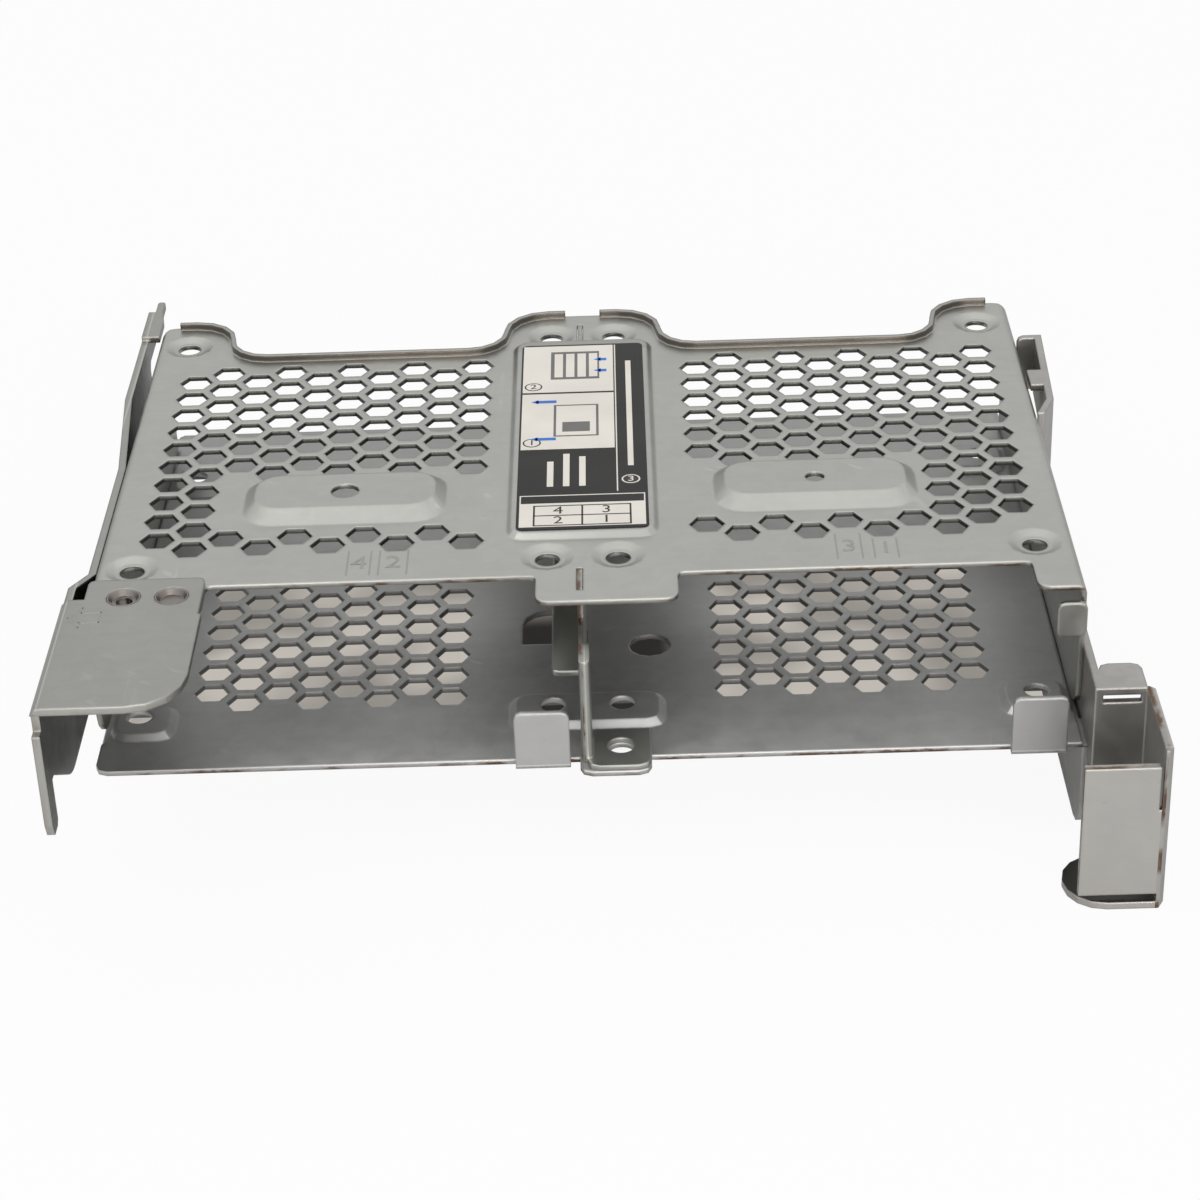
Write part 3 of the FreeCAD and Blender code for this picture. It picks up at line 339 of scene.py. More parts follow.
def new_material(name: str, metallic: float) -> tuple[bpy.types.Material, Desk, bpy.types.Node]:
    """Start a material.

    Args:
        name: Name of the material.
        metallic: 1 for metal and 0 for anything else.

    Returns:
        The material, its desk and its main shader.
    """
    made = bpy.data.materials.new(name)
    made.use_nodes = True
    shader = made.node_tree.nodes["Principled BSDF"]
    shader.inputs["Metallic"].default_value = metallic
    return made, Desk(made.node_tree), shader


def plating_group() -> bpy.types.NodeTree:
    """Satin zinc plating: soft clouds, small flakes and faint rolling lines.

    Returns:
        A group that gives colour, roughness and height.
    """
    desk, given, asked = new_group(
        "zinc_plating",
        {"Vector": "Vector", "Tint": "Color", "Mottle": "Float", "Gloss": "Float"},
        {"Color": "Color", "Roughness": "Float", "Height": "Float"})
    flake_scale = 620.0
    middle_tone = 1.08
    patch_rough = 0.16
    cloud_rough = 0.08
    grain_height = 0.6
    line_height = 0.4
    place = given["Vector"]
    clouds = desk.noise(place, Pattern(48.0, 3.0))
    patches = desk.noise(place, Pattern(330.0, 3.0))
    lines = desk.noise(place, Pattern(900.0, 2.0, (0.06, 1.0, 1.0)))
    grain = desk.noise(place, Pattern(2600.0, 2.0))
    flakes = desk.add("TexVoronoi", feature="F1")
    desk.feed(flakes.inputs["Vector"], place)
    flakes.inputs["Scale"].default_value = flake_scale
    flake = desk.add("SeparateColor")
    desk.feed(flake.inputs[0], flakes.outputs["Color"])
    tone = 0.0
    for part, share in ((clouds, 0.9), (patches, 0.7), (flake.outputs[0], 0.22), (lines, 0.35)):
        tone = desk.math("ADD", tone, desk.product(part, share))
    level = desk.math("ADD", desk.about(tone, middle_tone, given["Mottle"]), 1.0)
    shade = desk.add("CombineColor")
    for socket in shade.inputs[:3]:
        desk.feed(socket, level)
    desk.feed(asked["Color"], desk.mix(1.0, given["Tint"], shade.outputs[0], "MULTIPLY"))
    rough = desk.math("ADD", given["Gloss"], desk.about(patches, NOISE_MIDDLE, patch_rough))
    rough = desk.math("ADD", rough, desk.about(clouds, NOISE_MIDDLE, cloud_rough))
    desk.feed(asked["Roughness"], rough)
    rise = desk.math("ADD", desk.product(grain, grain_height), desk.product(lines, line_height))
    desk.feed(asked["Height"], rise)
    return desk.tree


def sheared_edge_group() -> bpy.types.NodeTree:
    """Cut edges of a sheet: the faces that run through its thickness, between its two sides.

    Returns:
        A group that gives masks of the edge's bright, rolled upper part, of its torn, brown lower part,
        and of the walls of holes behind a line, which take painted shade.
    """
    desk, given, asked = new_group(
        "sheared_edge",
        {"Vector": "Vector", "Across": "Float", "Facing": "Float", "Low": "Float", "High": "Float",
         "Wear": "Float", "Depth": "Float", "Line": "Float"},
        {"Rolled": "Float", "Torn": "Float", "HoleShade": "Float"})
    margin = 0.06
    facing_ramp = (0.25, 0.6)
    rolled_ramp = (0.7, 0.95)
    torn_ramp = (0.35, 0.75)
    rust_ramp = (0.42, 0.62)
    least_rust = 0.15
    raggedness = 0.9
    span = desk.math("SUBTRACT", given["High"], given["Low"])
    share = desk.math("DIVIDE", desk.math("SUBTRACT", given["Across"], given["Low"]), span)
    above = desk.math("GREATER_THAN", share, -margin)
    below = desk.math("LESS_THAN", share, 1 + margin)
    side_on = desk.spread(desk.math("ABSOLUTE", given["Facing"]), *facing_ramp, 1.0, 0.0)
    cut = desk.product(above, below, side_on)
    # The walls of holes behind the line are kept apart for painted shade.
    wall = desk.product(cut, desk.math("GREATER_THAN", given["Depth"], given["Line"]))
    edge = desk.math("SUBTRACT", cut, wall)
    desk.feed(asked["HoleShade"], wall)
    desk.feed(asked["Rolled"], desk.product(edge, desk.spread(share, *rolled_ramp, 0.0, 1.0)))
    ragged = desk.noise(given["Vector"], Pattern(700.0, 3.0))
    tear = desk.math("ADD", share, desk.about(ragged, NOISE_MIDDLE, raggedness))
    torn = desk.spread(tear, *torn_ramp, 1.0, 0.0)
    spots = desk.noise(given["Vector"], Pattern(170.0, 3.0))
    rust = desk.spread(spots, *rust_ramp, least_rust, 1.0)
    desk.feed(asked["Torn"], desk.product(edge, desk.product(torn, rust, given["Wear"])))
    return desk.tree


def lip_group() -> bpy.types.NodeTree:
    """Turned-up rear lip: upright faces above the sheet, behind a line.

    Returns:
        A group that gives a mask of the lip.
    """
    desk, given, asked = new_group(
        "turned_lip",
        {"Height": "Float", "Depth": "Float", "Facing": "Float", "Level": "Float", "Line": "Float"},
        {"Lip": "Float"})
    facing_ramp = (0.3, 0.7)
    top_share = 0.25
    above = desk.math("GREATER_THAN", given["Height"], given["Level"])
    behind = desk.math("GREATER_THAN", given["Depth"], given["Line"])
    upright = desk.spread(desk.math("ABSOLUTE", given["Facing"]), *facing_ramp, 1.0, top_share)
    desk.feed(asked["Lip"], desk.product(above, behind, upright))
    return desk.tree


def painted_light_side_group() -> bpy.types.NodeTree:
    """Faces that point one way, below a level and behind a line, on which a tone is painted: darker as
    painted shade, paler as painted light.

    Returns:
        A group that gives a mask of these faces, where the painted tone goes.
    """
    desk, given, asked = new_group(
        "painted_light_side",
        {"Normal": "Vector", "Way": "Vector", "Height": "Float", "Level": "Float", "Depth": "Float",
         "Start": "Float", "End": "Float"},
        {"Shade": "Float"})
    facing_ramp = (0.4, 0.9)
    along = desk.add("VectorMath", operation="DOT_PRODUCT")
    desk.feed(along.inputs[0], given["Normal"])
    desk.feed(along.inputs[1], given["Way"])
    turned = desk.spread(along.outputs["Value"], *facing_ramp, 0.0, 1.0)
    low = desk.math("LESS_THAN", given["Height"], given["Level"])
    behind = desk.spread(given["Depth"], given["Start"], given["End"], 0.0, 1.0)
    desk.feed(asked["Shade"], desk.product(turned, low, behind))
    return desk.tree


def smudge_group() -> bpy.types.NodeTree:
    """Handling marks: thin scratches and dull smears.

    Returns:
        A group that gives a mask of scratches and a mask of smears.
    """
    desk, given, asked = new_group(
        "handling_marks", {"Vector": "Vector", "Amount": "Float"}, {"Scratch": "Float", "Smear": "Float"})
    scratch_turn = (0.3, 0.2, 0.7)
    scratch_ramp = (0.68, 0.74)
    sparse_ramp = (0.52, 0.66)
    smear_ramp = (0.5, 0.72)
    place = given["Vector"]
    turned = desk.add("Mapping")
    desk.feed(turned.inputs["Vector"], place)
    turned.inputs["Rotation"].default_value = scratch_turn
    lines = desk.noise(turned.outputs[0], Pattern(500.0, 1.0, (0.05, 1.0, 1.0)))
    crossing = desk.noise(place, Pattern(420.0, 1.0, (1.0, 0.05, 1.0)))
    finest = desk.spread(desk.math("MAXIMUM", lines, crossing), *scratch_ramp, 0.0, 1.0)
    sparse = desk.spread(desk.noise(place, Pattern(70.0, 2.0)), *sparse_ramp, 0.0, 1.0)
    desk.feed(asked["Scratch"], desk.product(finest, sparse, given["Amount"]))
    smear = desk.spread(desk.noise(place, Pattern(26.0, 4.0)), *smear_ramp, 0.0, 1.0)
    desk.feed(asked["Smear"], desk.product(smear, given["Amount"]))
    return desk.tree


@dataclass
class SharedEffects:
    """Node groups that several finishes use."""

    plating: bpy.types.NodeTree = field(default_factory=plating_group)
    sheared: bpy.types.NodeTree = field(default_factory=sheared_edge_group)
    lip: bpy.types.NodeTree = field(default_factory=lip_group)
    shaded: bpy.types.NodeTree = field(default_factory=painted_light_side_group)
    marks: bpy.types.NodeTree = field(default_factory=smudge_group)


@dataclass(frozen=True)
class CutSheet:
    """A flat run of sheet with cut edges.

    Args:
        axis: Direction through the sheet.
        low: Level of its lower side along that axis, in metres.
        high: Level of its upper side along that axis, in metres.
    """

    axis: Axis
    low: float
    high: float


@dataclass(frozen=True)
class PaintedLightSide:
    """A side of a sheet with a painted tone: below 1 it is painted shade, above 1 painted light. The
    defaults leave every side as it is.

    Args:
        way: Direction that its faces point in.
        level: Level below which they lie, in metres.
        tone: Their painted tone as a share of the plating's: darker for painted shade, paler for painted
            light.
        depth: Start and end of the stretch over which that tone sets in to the rear, in metres.
    """

    way: tuple[float, float, float] = (0.0, 0.0, 1.0)
    level: float = -1.0
    tone: float = 1.0
    depth: Pair = (-2.0, -1.0)


@dataclass(frozen=True)
class SteelFinish:
    """Satin zinc-plated sheet with brownish cut edges.

    Args:
        name: Name of the material.
        tint: Colour of the plating.
        rust: Colour of the torn part of a cut edge.
        gloss: Middle roughness.
        mottle: How far the plating's tone swings.
        marks: How many handling marks it has.
        cuts: Sheets whose cut edges show.
        wear: How brown the torn part of its cut edges is.
        soft: Radius that its pressed and bent edges are shaded with, in millimetres.
        lip: Level and depth past which a turned-up lip begins, in metres.
        holes: Depth past which cut edges are the walls of holes, which take painted shade, in metres.
        front_light: How much paler the faces are that point to the front, as painted light.
        side: A side with a painted tone: painted shade where darker, painted light where paler.
    """

    name: str
    tint: Colour
    rust: Colour
    gloss: float
    mottle: float
    marks: float
    cuts: tuple[CutSheet, ...]
    wear: float = 1.0
    soft: float = 0.5
    lip: Pair = (1.0, 1.0)
    holes: float = 1.0
    front_light: float = 0.0
    side: PaintedLightSide = PaintedLightSide()

    def material(self, effects: SharedEffects) -> bpy.types.Material:
        """Make the material.

        Args:
            effects: The shared node groups.

        Returns:
            The finished material.
        """
        made, desk, shader = new_material(self.name, metallic=1.0)
        place = desk.add("TexCoord").outputs["Object"]
        normal = desk.add("NewGeometry").outputs["True Normal"]
        spot = desk.split(place)
        facing = desk.split(normal)
        depth = spot[Axis.Y.value]
        height = spot[Axis.Z.value]
        plating = desk.group(
            effects.plating, Vector=place, Tint=toned(self.tint), Mottle=self.mottle, Gloss=self.gloss)
        marks = desk.group(effects.marks, Vector=place, Amount=self.marks)
        colour = self.front_light_and_wear_colour(desk, plating.outputs["Color"], facing[Axis.Y.value], marks)
        rough = plating.outputs["Roughness"]
        torn_rough = 0.25
        for cut in self.cuts:
            index = cut.axis.value
            edge = desk.group(
                effects.sheared, Vector=place, Across=spot[index], Facing=facing[index], Low=cut.low,
                High=cut.high, Wear=self.wear, Depth=depth, Line=self.holes)
            colour = self.edge_colour(desk, colour, edge)
            rough = desk.math("ADD", rough, desk.product(edge.outputs["Torn"], torn_rough))
        lip = desk.group(
            effects.lip, Height=height, Depth=depth, Facing=facing[Axis.Z.value], Level=self.lip[0],
            Line=self.lip[1])
        side = desk.group(
            effects.shaded, Normal=normal, Way=self.side.way, Height=height, Level=self.side.level,
            Depth=depth, Start=self.side.depth[0], End=self.side.depth[1])
        lip_cover = 0.9
        colour = desk.mix(desk.product(lip.outputs["Lip"], lip_cover), colour, self.lip_colour())
        # Painted shade, or painted light where the tone is paler, on the side that the finish gives.
        colour = desk.mix(side.outputs["Shade"], colour, toned(self.tint, self.side.tone))
        desk.feed(shader.inputs["Base Color"], colour)
        smear_rough = 0.06
        lip_gloss = 0.12
        rough = desk.math("ADD", rough, desk.product(marks.outputs["Smear"], smear_rough))
        rough = desk.math("SUBTRACT", rough, desk.product(lip.outputs["Lip"], lip_gloss))
        desk.feed(shader.inputs["Roughness"], rough)
        self.relief(desk, shader, plating.outputs["Height"])
        return made

    def front_light_and_wear_colour(self, desk: Desk, zinc: Socket, rearward: Socket, marks: bpy.types.Node) -> Socket:
        """Colour of the plating with painted light on its front faces and with its handling marks.

        Args:
            desk: Shader tree of the material.
            zinc: Colour of the plating.
            rearward: How far the surface points to the rear, below 0 where it points to the front.
            marks: The handling marks.

        Returns:
            The worn colour.
        """
        front_ramp = (-0.95, -0.6)
        front_light_share = 0.6
        smear_share = 0.5
        smear_tone = 0.9
        scratch_tone = 1.25
        # Painted light: faces that point to the front are made paler.
        paler = desk.mix(front_light_share, zinc, toned(self.tint, 1 + self.front_light))
        colour = desk.mix(desk.spread(rearward, *front_ramp, 1.0, 0.0), zinc, paler)
        smear = desk.product(marks.outputs["Smear"], smear_share)
        colour = desk.mix(smear, colour, toned(self.tint, smear_tone))
        return desk.mix(marks.outputs["Scratch"], colour, toned(self.tint, scratch_tone))

    def edge_colour(self, desk: Desk, colour: Socket, edge: bpy.types.Node) -> Socket:
        """Colour with the cut edges of one sheet laid over it, and painted shade on the walls of its holes.

        Args:
            desk: Shader tree of the material.
            colour: Colour of the surface.
            edge: Masks of the cut edges.

        Returns:
            The new colour.
        """
        rolled_tone = 1.4
        hole_shade_tone = 0.3
        hole_shade_share = 0.85
        colour = desk.mix(edge.outputs["Rolled"], colour, toned(self.tint, rolled_tone))
        colour = desk.mix(edge.outputs["Torn"], colour, toned(self.rust))
        # Painted shade: the walls of holes behind the line are darkened.
        wall = desk.product(edge.outputs["HoleShade"], hole_shade_share)
        return desk.mix(wall, colour, toned(self.tint, hole_shade_tone))

    def lip_colour(self) -> Paint:
        """Colour of a turned-up lip, between the plating's and the torn edge's."""
        zinc_share = 0.2
        rust_share = 0.35
        mixed = (zinc * zinc_share + brown * rust_share for zinc, brown in zip(self.tint, self.rust))
        return toned(tuple(mixed))

    def relief(self, desk: Desk, shader: bpy.types.Node, height: Socket) -> None:
        """Shade bent edges as rounds and give the plating its fine grain.

        Args:
            desk: Shader tree of the material.
            shader: Main shader of the material.
            height: Height of the plating's grain.
        """
        edge_samples = 6
        grain_strength = 0.05
        grain_height = 0.1
        soft = desk.add("Bevel", samples=edge_samples)
        soft.inputs["Radius"].default_value = self.soft * MM
        bump = desk.add("Bump")
        desk.feed(bump.inputs["Normal"], soft.outputs[0])
        bump.inputs["Strength"].default_value = grain_strength
        bump.inputs["Distance"].default_value = grain_height * MM
        desk.feed(bump.inputs["Height"], height)
        desk.feed(shader.inputs["Normal"], bump.outputs[0])


@dataclass(frozen=True)
class InkFinish:
    """Printed film: one ink with a faint mottle and a soft shine.

    Args:
        name: Name of the material.
        ink: Colour of the print.
        swing: How far its tone swings.
        roughness: Roughness of the film.
        shine: Strength of its reflections.
    """

    name: str
    ink: Colour
    swing: float
    roughness: float
    shine: float = 0.25

    def material(self) -> bpy.types.Material:
        """Make the material.

        Returns:
            The finished material.
        """
        worn_ramp = (0.3, 0.7)
        worn_rough = 0.2
        haze = 0.02
        fibre_strength = 0.04
        fibre_height = 0.05
        made, desk, shader = new_material(self.name, metallic=0.0)
        shader.inputs["Specular IOR Level"].default_value = self.shine
        place = desk.add("TexCoord").outputs["Object"]
        fibre = desk.noise(place, Pattern(1500.0, 3.0))
        worn = desk.noise(place, Pattern(120.0, 3.0))
        dark = toned(self.ink, 1 - self.swing)
        light = toned(tuple(part * (1 + self.swing) + self.swing * haze for part in self.ink))
        colour = desk.mix(desk.spread(worn, *worn_ramp, 0.0, 1.0), dark, light)
        desk.feed(shader.inputs["Base Color"], colour)
        rough = desk.math("ADD", self.roughness, desk.about(worn, NOISE_MIDDLE, worn_rough))
        desk.feed(shader.inputs["Roughness"], rough)
        bump = desk.add("Bump")
        bump.inputs["Strength"].default_value = fibre_strength
        bump.inputs["Distance"].default_value = fibre_height * MM
        desk.feed(bump.inputs["Height"], fibre)
        desk.feed(shader.inputs["Normal"], bump.outputs[0])
        return made


def keep_piece(
        bm: bmesh.types.BMesh, name: str, materials: list[bpy.types.Material],
) -> bpy.types.Object:
    """Turn a finished bmesh into a piece that moves with the cage.

    Args:
        bm: The mesh, in the frame of the solids. It is freed.
        name: Name of the piece.
        materials: Its materials, in the order of its material indices.

    Returns:
        The new object.
    """
    mesh = bpy.data.meshes.new(name)
    bmesh.ops.recalc_face_normals(bm, faces=bm.faces)
    bm.to_mesh(mesh)
    bm.free()
    piece = bpy.data.objects.new(name, mesh)
    bpy.context.scene.collection.objects.link(piece)
    for material in materials:
        mesh.materials.append(material)
    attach(piece, BODY)
    LOG.info("%s: %d faces", name, len(mesh.polygons))
    return piece


def smooth_tree() -> bpy.types.NodeTree:
    """Geometry nodes that shade an upright faceted round as one surface and keep pressed edges sharp.

    Returns:
        The node tree for a Nodes modifier.
    """
    upright_from = math.radians(32.0)
    sloping_from = math.radians(16.0)
    upright_share = 0.8
    tree = bpy.data.node_groups.new("smooth_rounds", "GeometryNodeTree")
    for way in ("INPUT", "OUTPUT"):
        tree.interface.new_socket(name="Geometry", in_out=way, socket_type="NodeSocketGeometry")
    source = add_node(tree, "NodeGroupInput")
    sink = add_node(tree, "NodeGroupOutput")
    angle = add_node(tree, "GeometryNodeInputMeshEdgeAngle")
    ends = add_node(tree, "GeometryNodeInputMeshEdgeVertices")
    run = add_node(tree, "ShaderNodeVectorMath", operation="SUBTRACT")
    straight = add_node(tree, "ShaderNodeVectorMath", operation="NORMALIZE")
    parts = add_node(tree, "ShaderNodeSeparateXYZ")
    steep = add_node(tree, "ShaderNodeMath", operation="ABSOLUTE")
    upright = add_node(tree, "ShaderNodeMath", operation="GREATER_THAN")
    upright.inputs[1].default_value = upright_share
    limit = add_node(tree, "ShaderNodeMapRange")
    limit.inputs["To Min"].default_value = sloping_from
    limit.inputs["To Max"].default_value = upright_from
    flat_enough = add_node(tree, "FunctionNodeCompare", data_type="FLOAT", operation="LESS_THAN")
    faces = add_node(tree, "GeometryNodeSetShadeSmooth", domain="FACE")
    edges = add_node(tree, "GeometryNodeSetShadeSmooth", domain="EDGE")
    links = (
        (ends.outputs["Position 1"], run.inputs[0]),
        (ends.outputs["Position 2"], run.inputs[1]),
        (run.outputs[0], straight.inputs[0]),
        (straight.outputs[0], parts.inputs[0]),
        (parts.outputs["Z"], steep.inputs[0]),
        (steep.outputs[0], upright.inputs[0]),
        (upright.outputs[0], limit.inputs["Value"]),
        (angle.outputs["Unsigned Angle"], flat_enough.inputs[0]),
        (limit.outputs["Result"], flat_enough.inputs[1]),
        (source.outputs[0], faces.inputs["Geometry"]),
        (faces.outputs[0], edges.inputs["Geometry"]),
        (flat_enough.outputs[0], edges.inputs["Shade Smooth"]),
        (edges.outputs[0], sink.inputs[0]),
    )
    for start, end in links:
        tree.links.new(start, end)
    return tree


@dataclass
class SheetWork:
    """The folded sheets and rivets: finish of each node and the broken edges of its sheet.

    Args:
        edge_width: Width of the broken edge, in millimetres.
        edge_steps: Steps across the broken edge.
        sharp_from: Angle past which an edge is broken, in degrees.
        flat_below: Angle below which two faces are one, in degrees.
        weld_reach: Distance at which loose corners are one, in millimetres.
    """

    edge_width: float = 0.09
    edge_steps: int = 2
    sharp_from: float = 35.0
    flat_below: float = 0.4
    weld_reach: float = 0.0005

    def finishes(self, cage: CageFrame) -> dict[str, SteelFinish]:
        """Finish of each steel node.

        Args:
            cage: The cage's own frame.

        Returns:
            A finish for each node name.
        """
        zinc = (0.388, 0.39, 0.366)
        zinc_inside = (0.5, 0.5, 0.492)
        wing_zinc = (0.31, 0.31, 0.292)
        post_zinc = (0.36, 0.352, 0.335)
        # The rivets' dark tint is painted shade of the wing's dished seats that they sit in.
        rivet_seat_shade_zinc = (0.23, 0.212, 0.195)
        stamp_zinc = (0.32, 0.32, 0.305)
        rust = (0.16, 0.105, 0.075)
        pale_rust = (0.27, 0.21, 0.17)
        up = (0.0, 0.0, 1.0)
        down = (0.0, 0.0, -1.0)
        inward = (1.0, 0.0, 0.0)
        bracket_sheet = 1.2 * MM
        left_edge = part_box("left_bracket")[0].x
        low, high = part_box("right_bracket")
        cover = CutSheet(Axis.Z, cage.height(-0.2), cage.height(0.6))
        floor = CutSheet(Axis.Z, cage.height(-22.0), cage.height(-21.2))
        middle = CutSheet(Axis.X, cage.at(-0.85, 0, 0).x, cage.at(0.1, 0, 0).x)
        wing = CutSheet(Axis.Z, cage.height(0.6), cage.height(1.8))
        left_wall = CutSheet(Axis.X, left_edge, left_edge + bracket_sheet)
        post = CutSheet(Axis.Y, low.y, low.y + bracket_sheet)
        post_wall = CutSheet(Axis.X, high.x - bracket_sheet, high.x)
        rear_lip = (cage.height(0.66), cage.depth(69.0))
        cover_holes = cage.depth(-4.5)
        floor_holes = cage.depth(-16.0)
        deep_inside = (cage.depth(16.0), cage.depth(40.0))
        # Painted shade on the cover's underside, on the floor deep in the bays, on the left bracket's inner
        # wall and on the low upward faces in the post; painted light on the divider's low upward faces.
        painted_shade_under_cover = PaintedLightSide(down, cage.height(1.0), tone=0.5)
        painted_shade_deep_floor = PaintedLightSide(up, cage.height(-15.0), tone=0.6, depth=deep_inside)
        painted_light_on_divider = PaintedLightSide(up, cage.height(-7.0), tone=1.45)
        painted_shade_inner_wall = PaintedLightSide(inward, cage.height(0.4), tone=0.42)
        painted_shade_low_in_post = PaintedLightSide(up, cage.height(-30.0), tone=0.2)
        return {
            "top_cover": SteelFinish(
                "cover_zinc", zinc, rust, gloss=0.36, mottle=0.16, marks=0.5, cuts=(cover,), soft=0.6,
                lip=rear_lip, holes=cover_holes, side=painted_shade_under_cover),
            "bottom_plate": SteelFinish(
                "floor_zinc", zinc_inside, rust, gloss=0.5, mottle=0.28, marks=0.6, cuts=(floor,),
                holes=floor_holes, side=painted_shade_deep_floor),
            "centre_divider": SteelFinish(
                "divider_zinc", zinc, rust, gloss=0.36, mottle=0.16, marks=0.5, cuts=(middle,), side=painted_light_on_divider),
            "left_bracket": SteelFinish(
                "wing_zinc", wing_zinc, pale_rust, gloss=0.38, mottle=0.17, marks=0.35,
                cuts=(wing, left_wall), wear=0.3, front_light=0.75, side=painted_shade_inner_wall),
            "right_bracket": SteelFinish(
                "post_zinc", post_zinc, rust, gloss=0.42, mottle=0.3, marks=0.6, cuts=(post, post_wall),
                front_light=0.6, side=painted_shade_low_in_post),
            "bracket_rivets": SteelFinish(
                "rivet_seat_shade_zinc", rivet_seat_shade_zinc, rust, gloss=0.3, mottle=0.2, marks=0.8, cuts=(wing,), soft=0.1),
            "stamps": SteelFinish(
                "stamp_zinc", stamp_zinc, rust, gloss=0.4, mottle=0.1, marks=0.2, cuts=(wing,), wear=0.0,
                soft=0.05),
        }

    def dress(self, cage: CageFrame, effects: SharedEffects) -> dict[str, bpy.types.Material]:
        """Give each node its finish and its broken edges.

        Args:
            cage: The cage's own frame.
            effects: The shared node groups.

        Returns:
            The material of each node, and that of the struck marks.
        """
        materials = {}
        rounds = smooth_tree()
        for name, finish in self.finishes(cage).items():
            materials[name] = finish.material(effects)
            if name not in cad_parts:
                continue
            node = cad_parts[name]
            node.data.materials.clear()
            node.data.materials.append(materials[name])
            self.break_edges(node, rounds)
            LOG.info("%s: %s", name, finish.name)
        return materials

    def break_edges(self, node: bpy.types.Object, rounds: bpy.types.NodeTree) -> None:
        """Weld a node's loose triangles in its modifiers and break its sharp edges.

        Args:
            node: The node's object, whose own mesh stays as it is.
            rounds: Node tree that smooths faceted rounds.
        """
        weld = node.modifiers.new("weld", "WELD")
        weld.merge_threshold = self.weld_reach * MM
        flat = node.modifiers.new("flat_faces", "DECIMATE")
        flat.decimate_type = "DISSOLVE"
        flat.angle_limit = math.radians(self.flat_below)
        smooth = node.modifiers.new("rounds", "NODES")
        smooth.node_group = rounds
        bevel = node.modifiers.new("broken_edges", "BEVEL")
        bevel.limit_method = "ANGLE"
        bevel.angle_limit = math.radians(self.sharp_from)
        bevel.width = self.edge_width * MM
        bevel.segments = self.edge_steps
        bevel.profile = 0.5
        bevel.use_clamp_overlap = True
        bevel.harden_normals = True
        bevel.material = -1


def number_mesh(text: str, height: float, depth: float) -> bpy.types.Mesh:
    """Mesh of a plain number, flat or with a depth, centred on the origin.

    Args:
        text: The number.
        height: Height of the number, in millimetres.
        depth: Half of its thickness, in millimetres.

    Returns:
        A mesh in metres.
    """
    font_share = 1.4
    curve_steps = 3
    curve = bpy.data.curves.new("number", "FONT")
    curve.body = text
    curve.size = height * MM * font_share
    curve.align_x = "CENTER"
    curve.align_y = "CENTER"
    curve.extrude = depth * MM
    curve.resolution_u = curve_steps
    holder = bpy.data.objects.new("number", curve)
    bpy.context.scene.collection.objects.link(holder)
    bpy.context.view_layer.update()
    mesh = bpy.data.meshes.new_from_object(holder.evaluated_get(bpy.context.evaluated_depsgraph_get()))
    bpy.data.objects.remove(holder)
    bpy.data.curves.remove(curve)
    return mesh


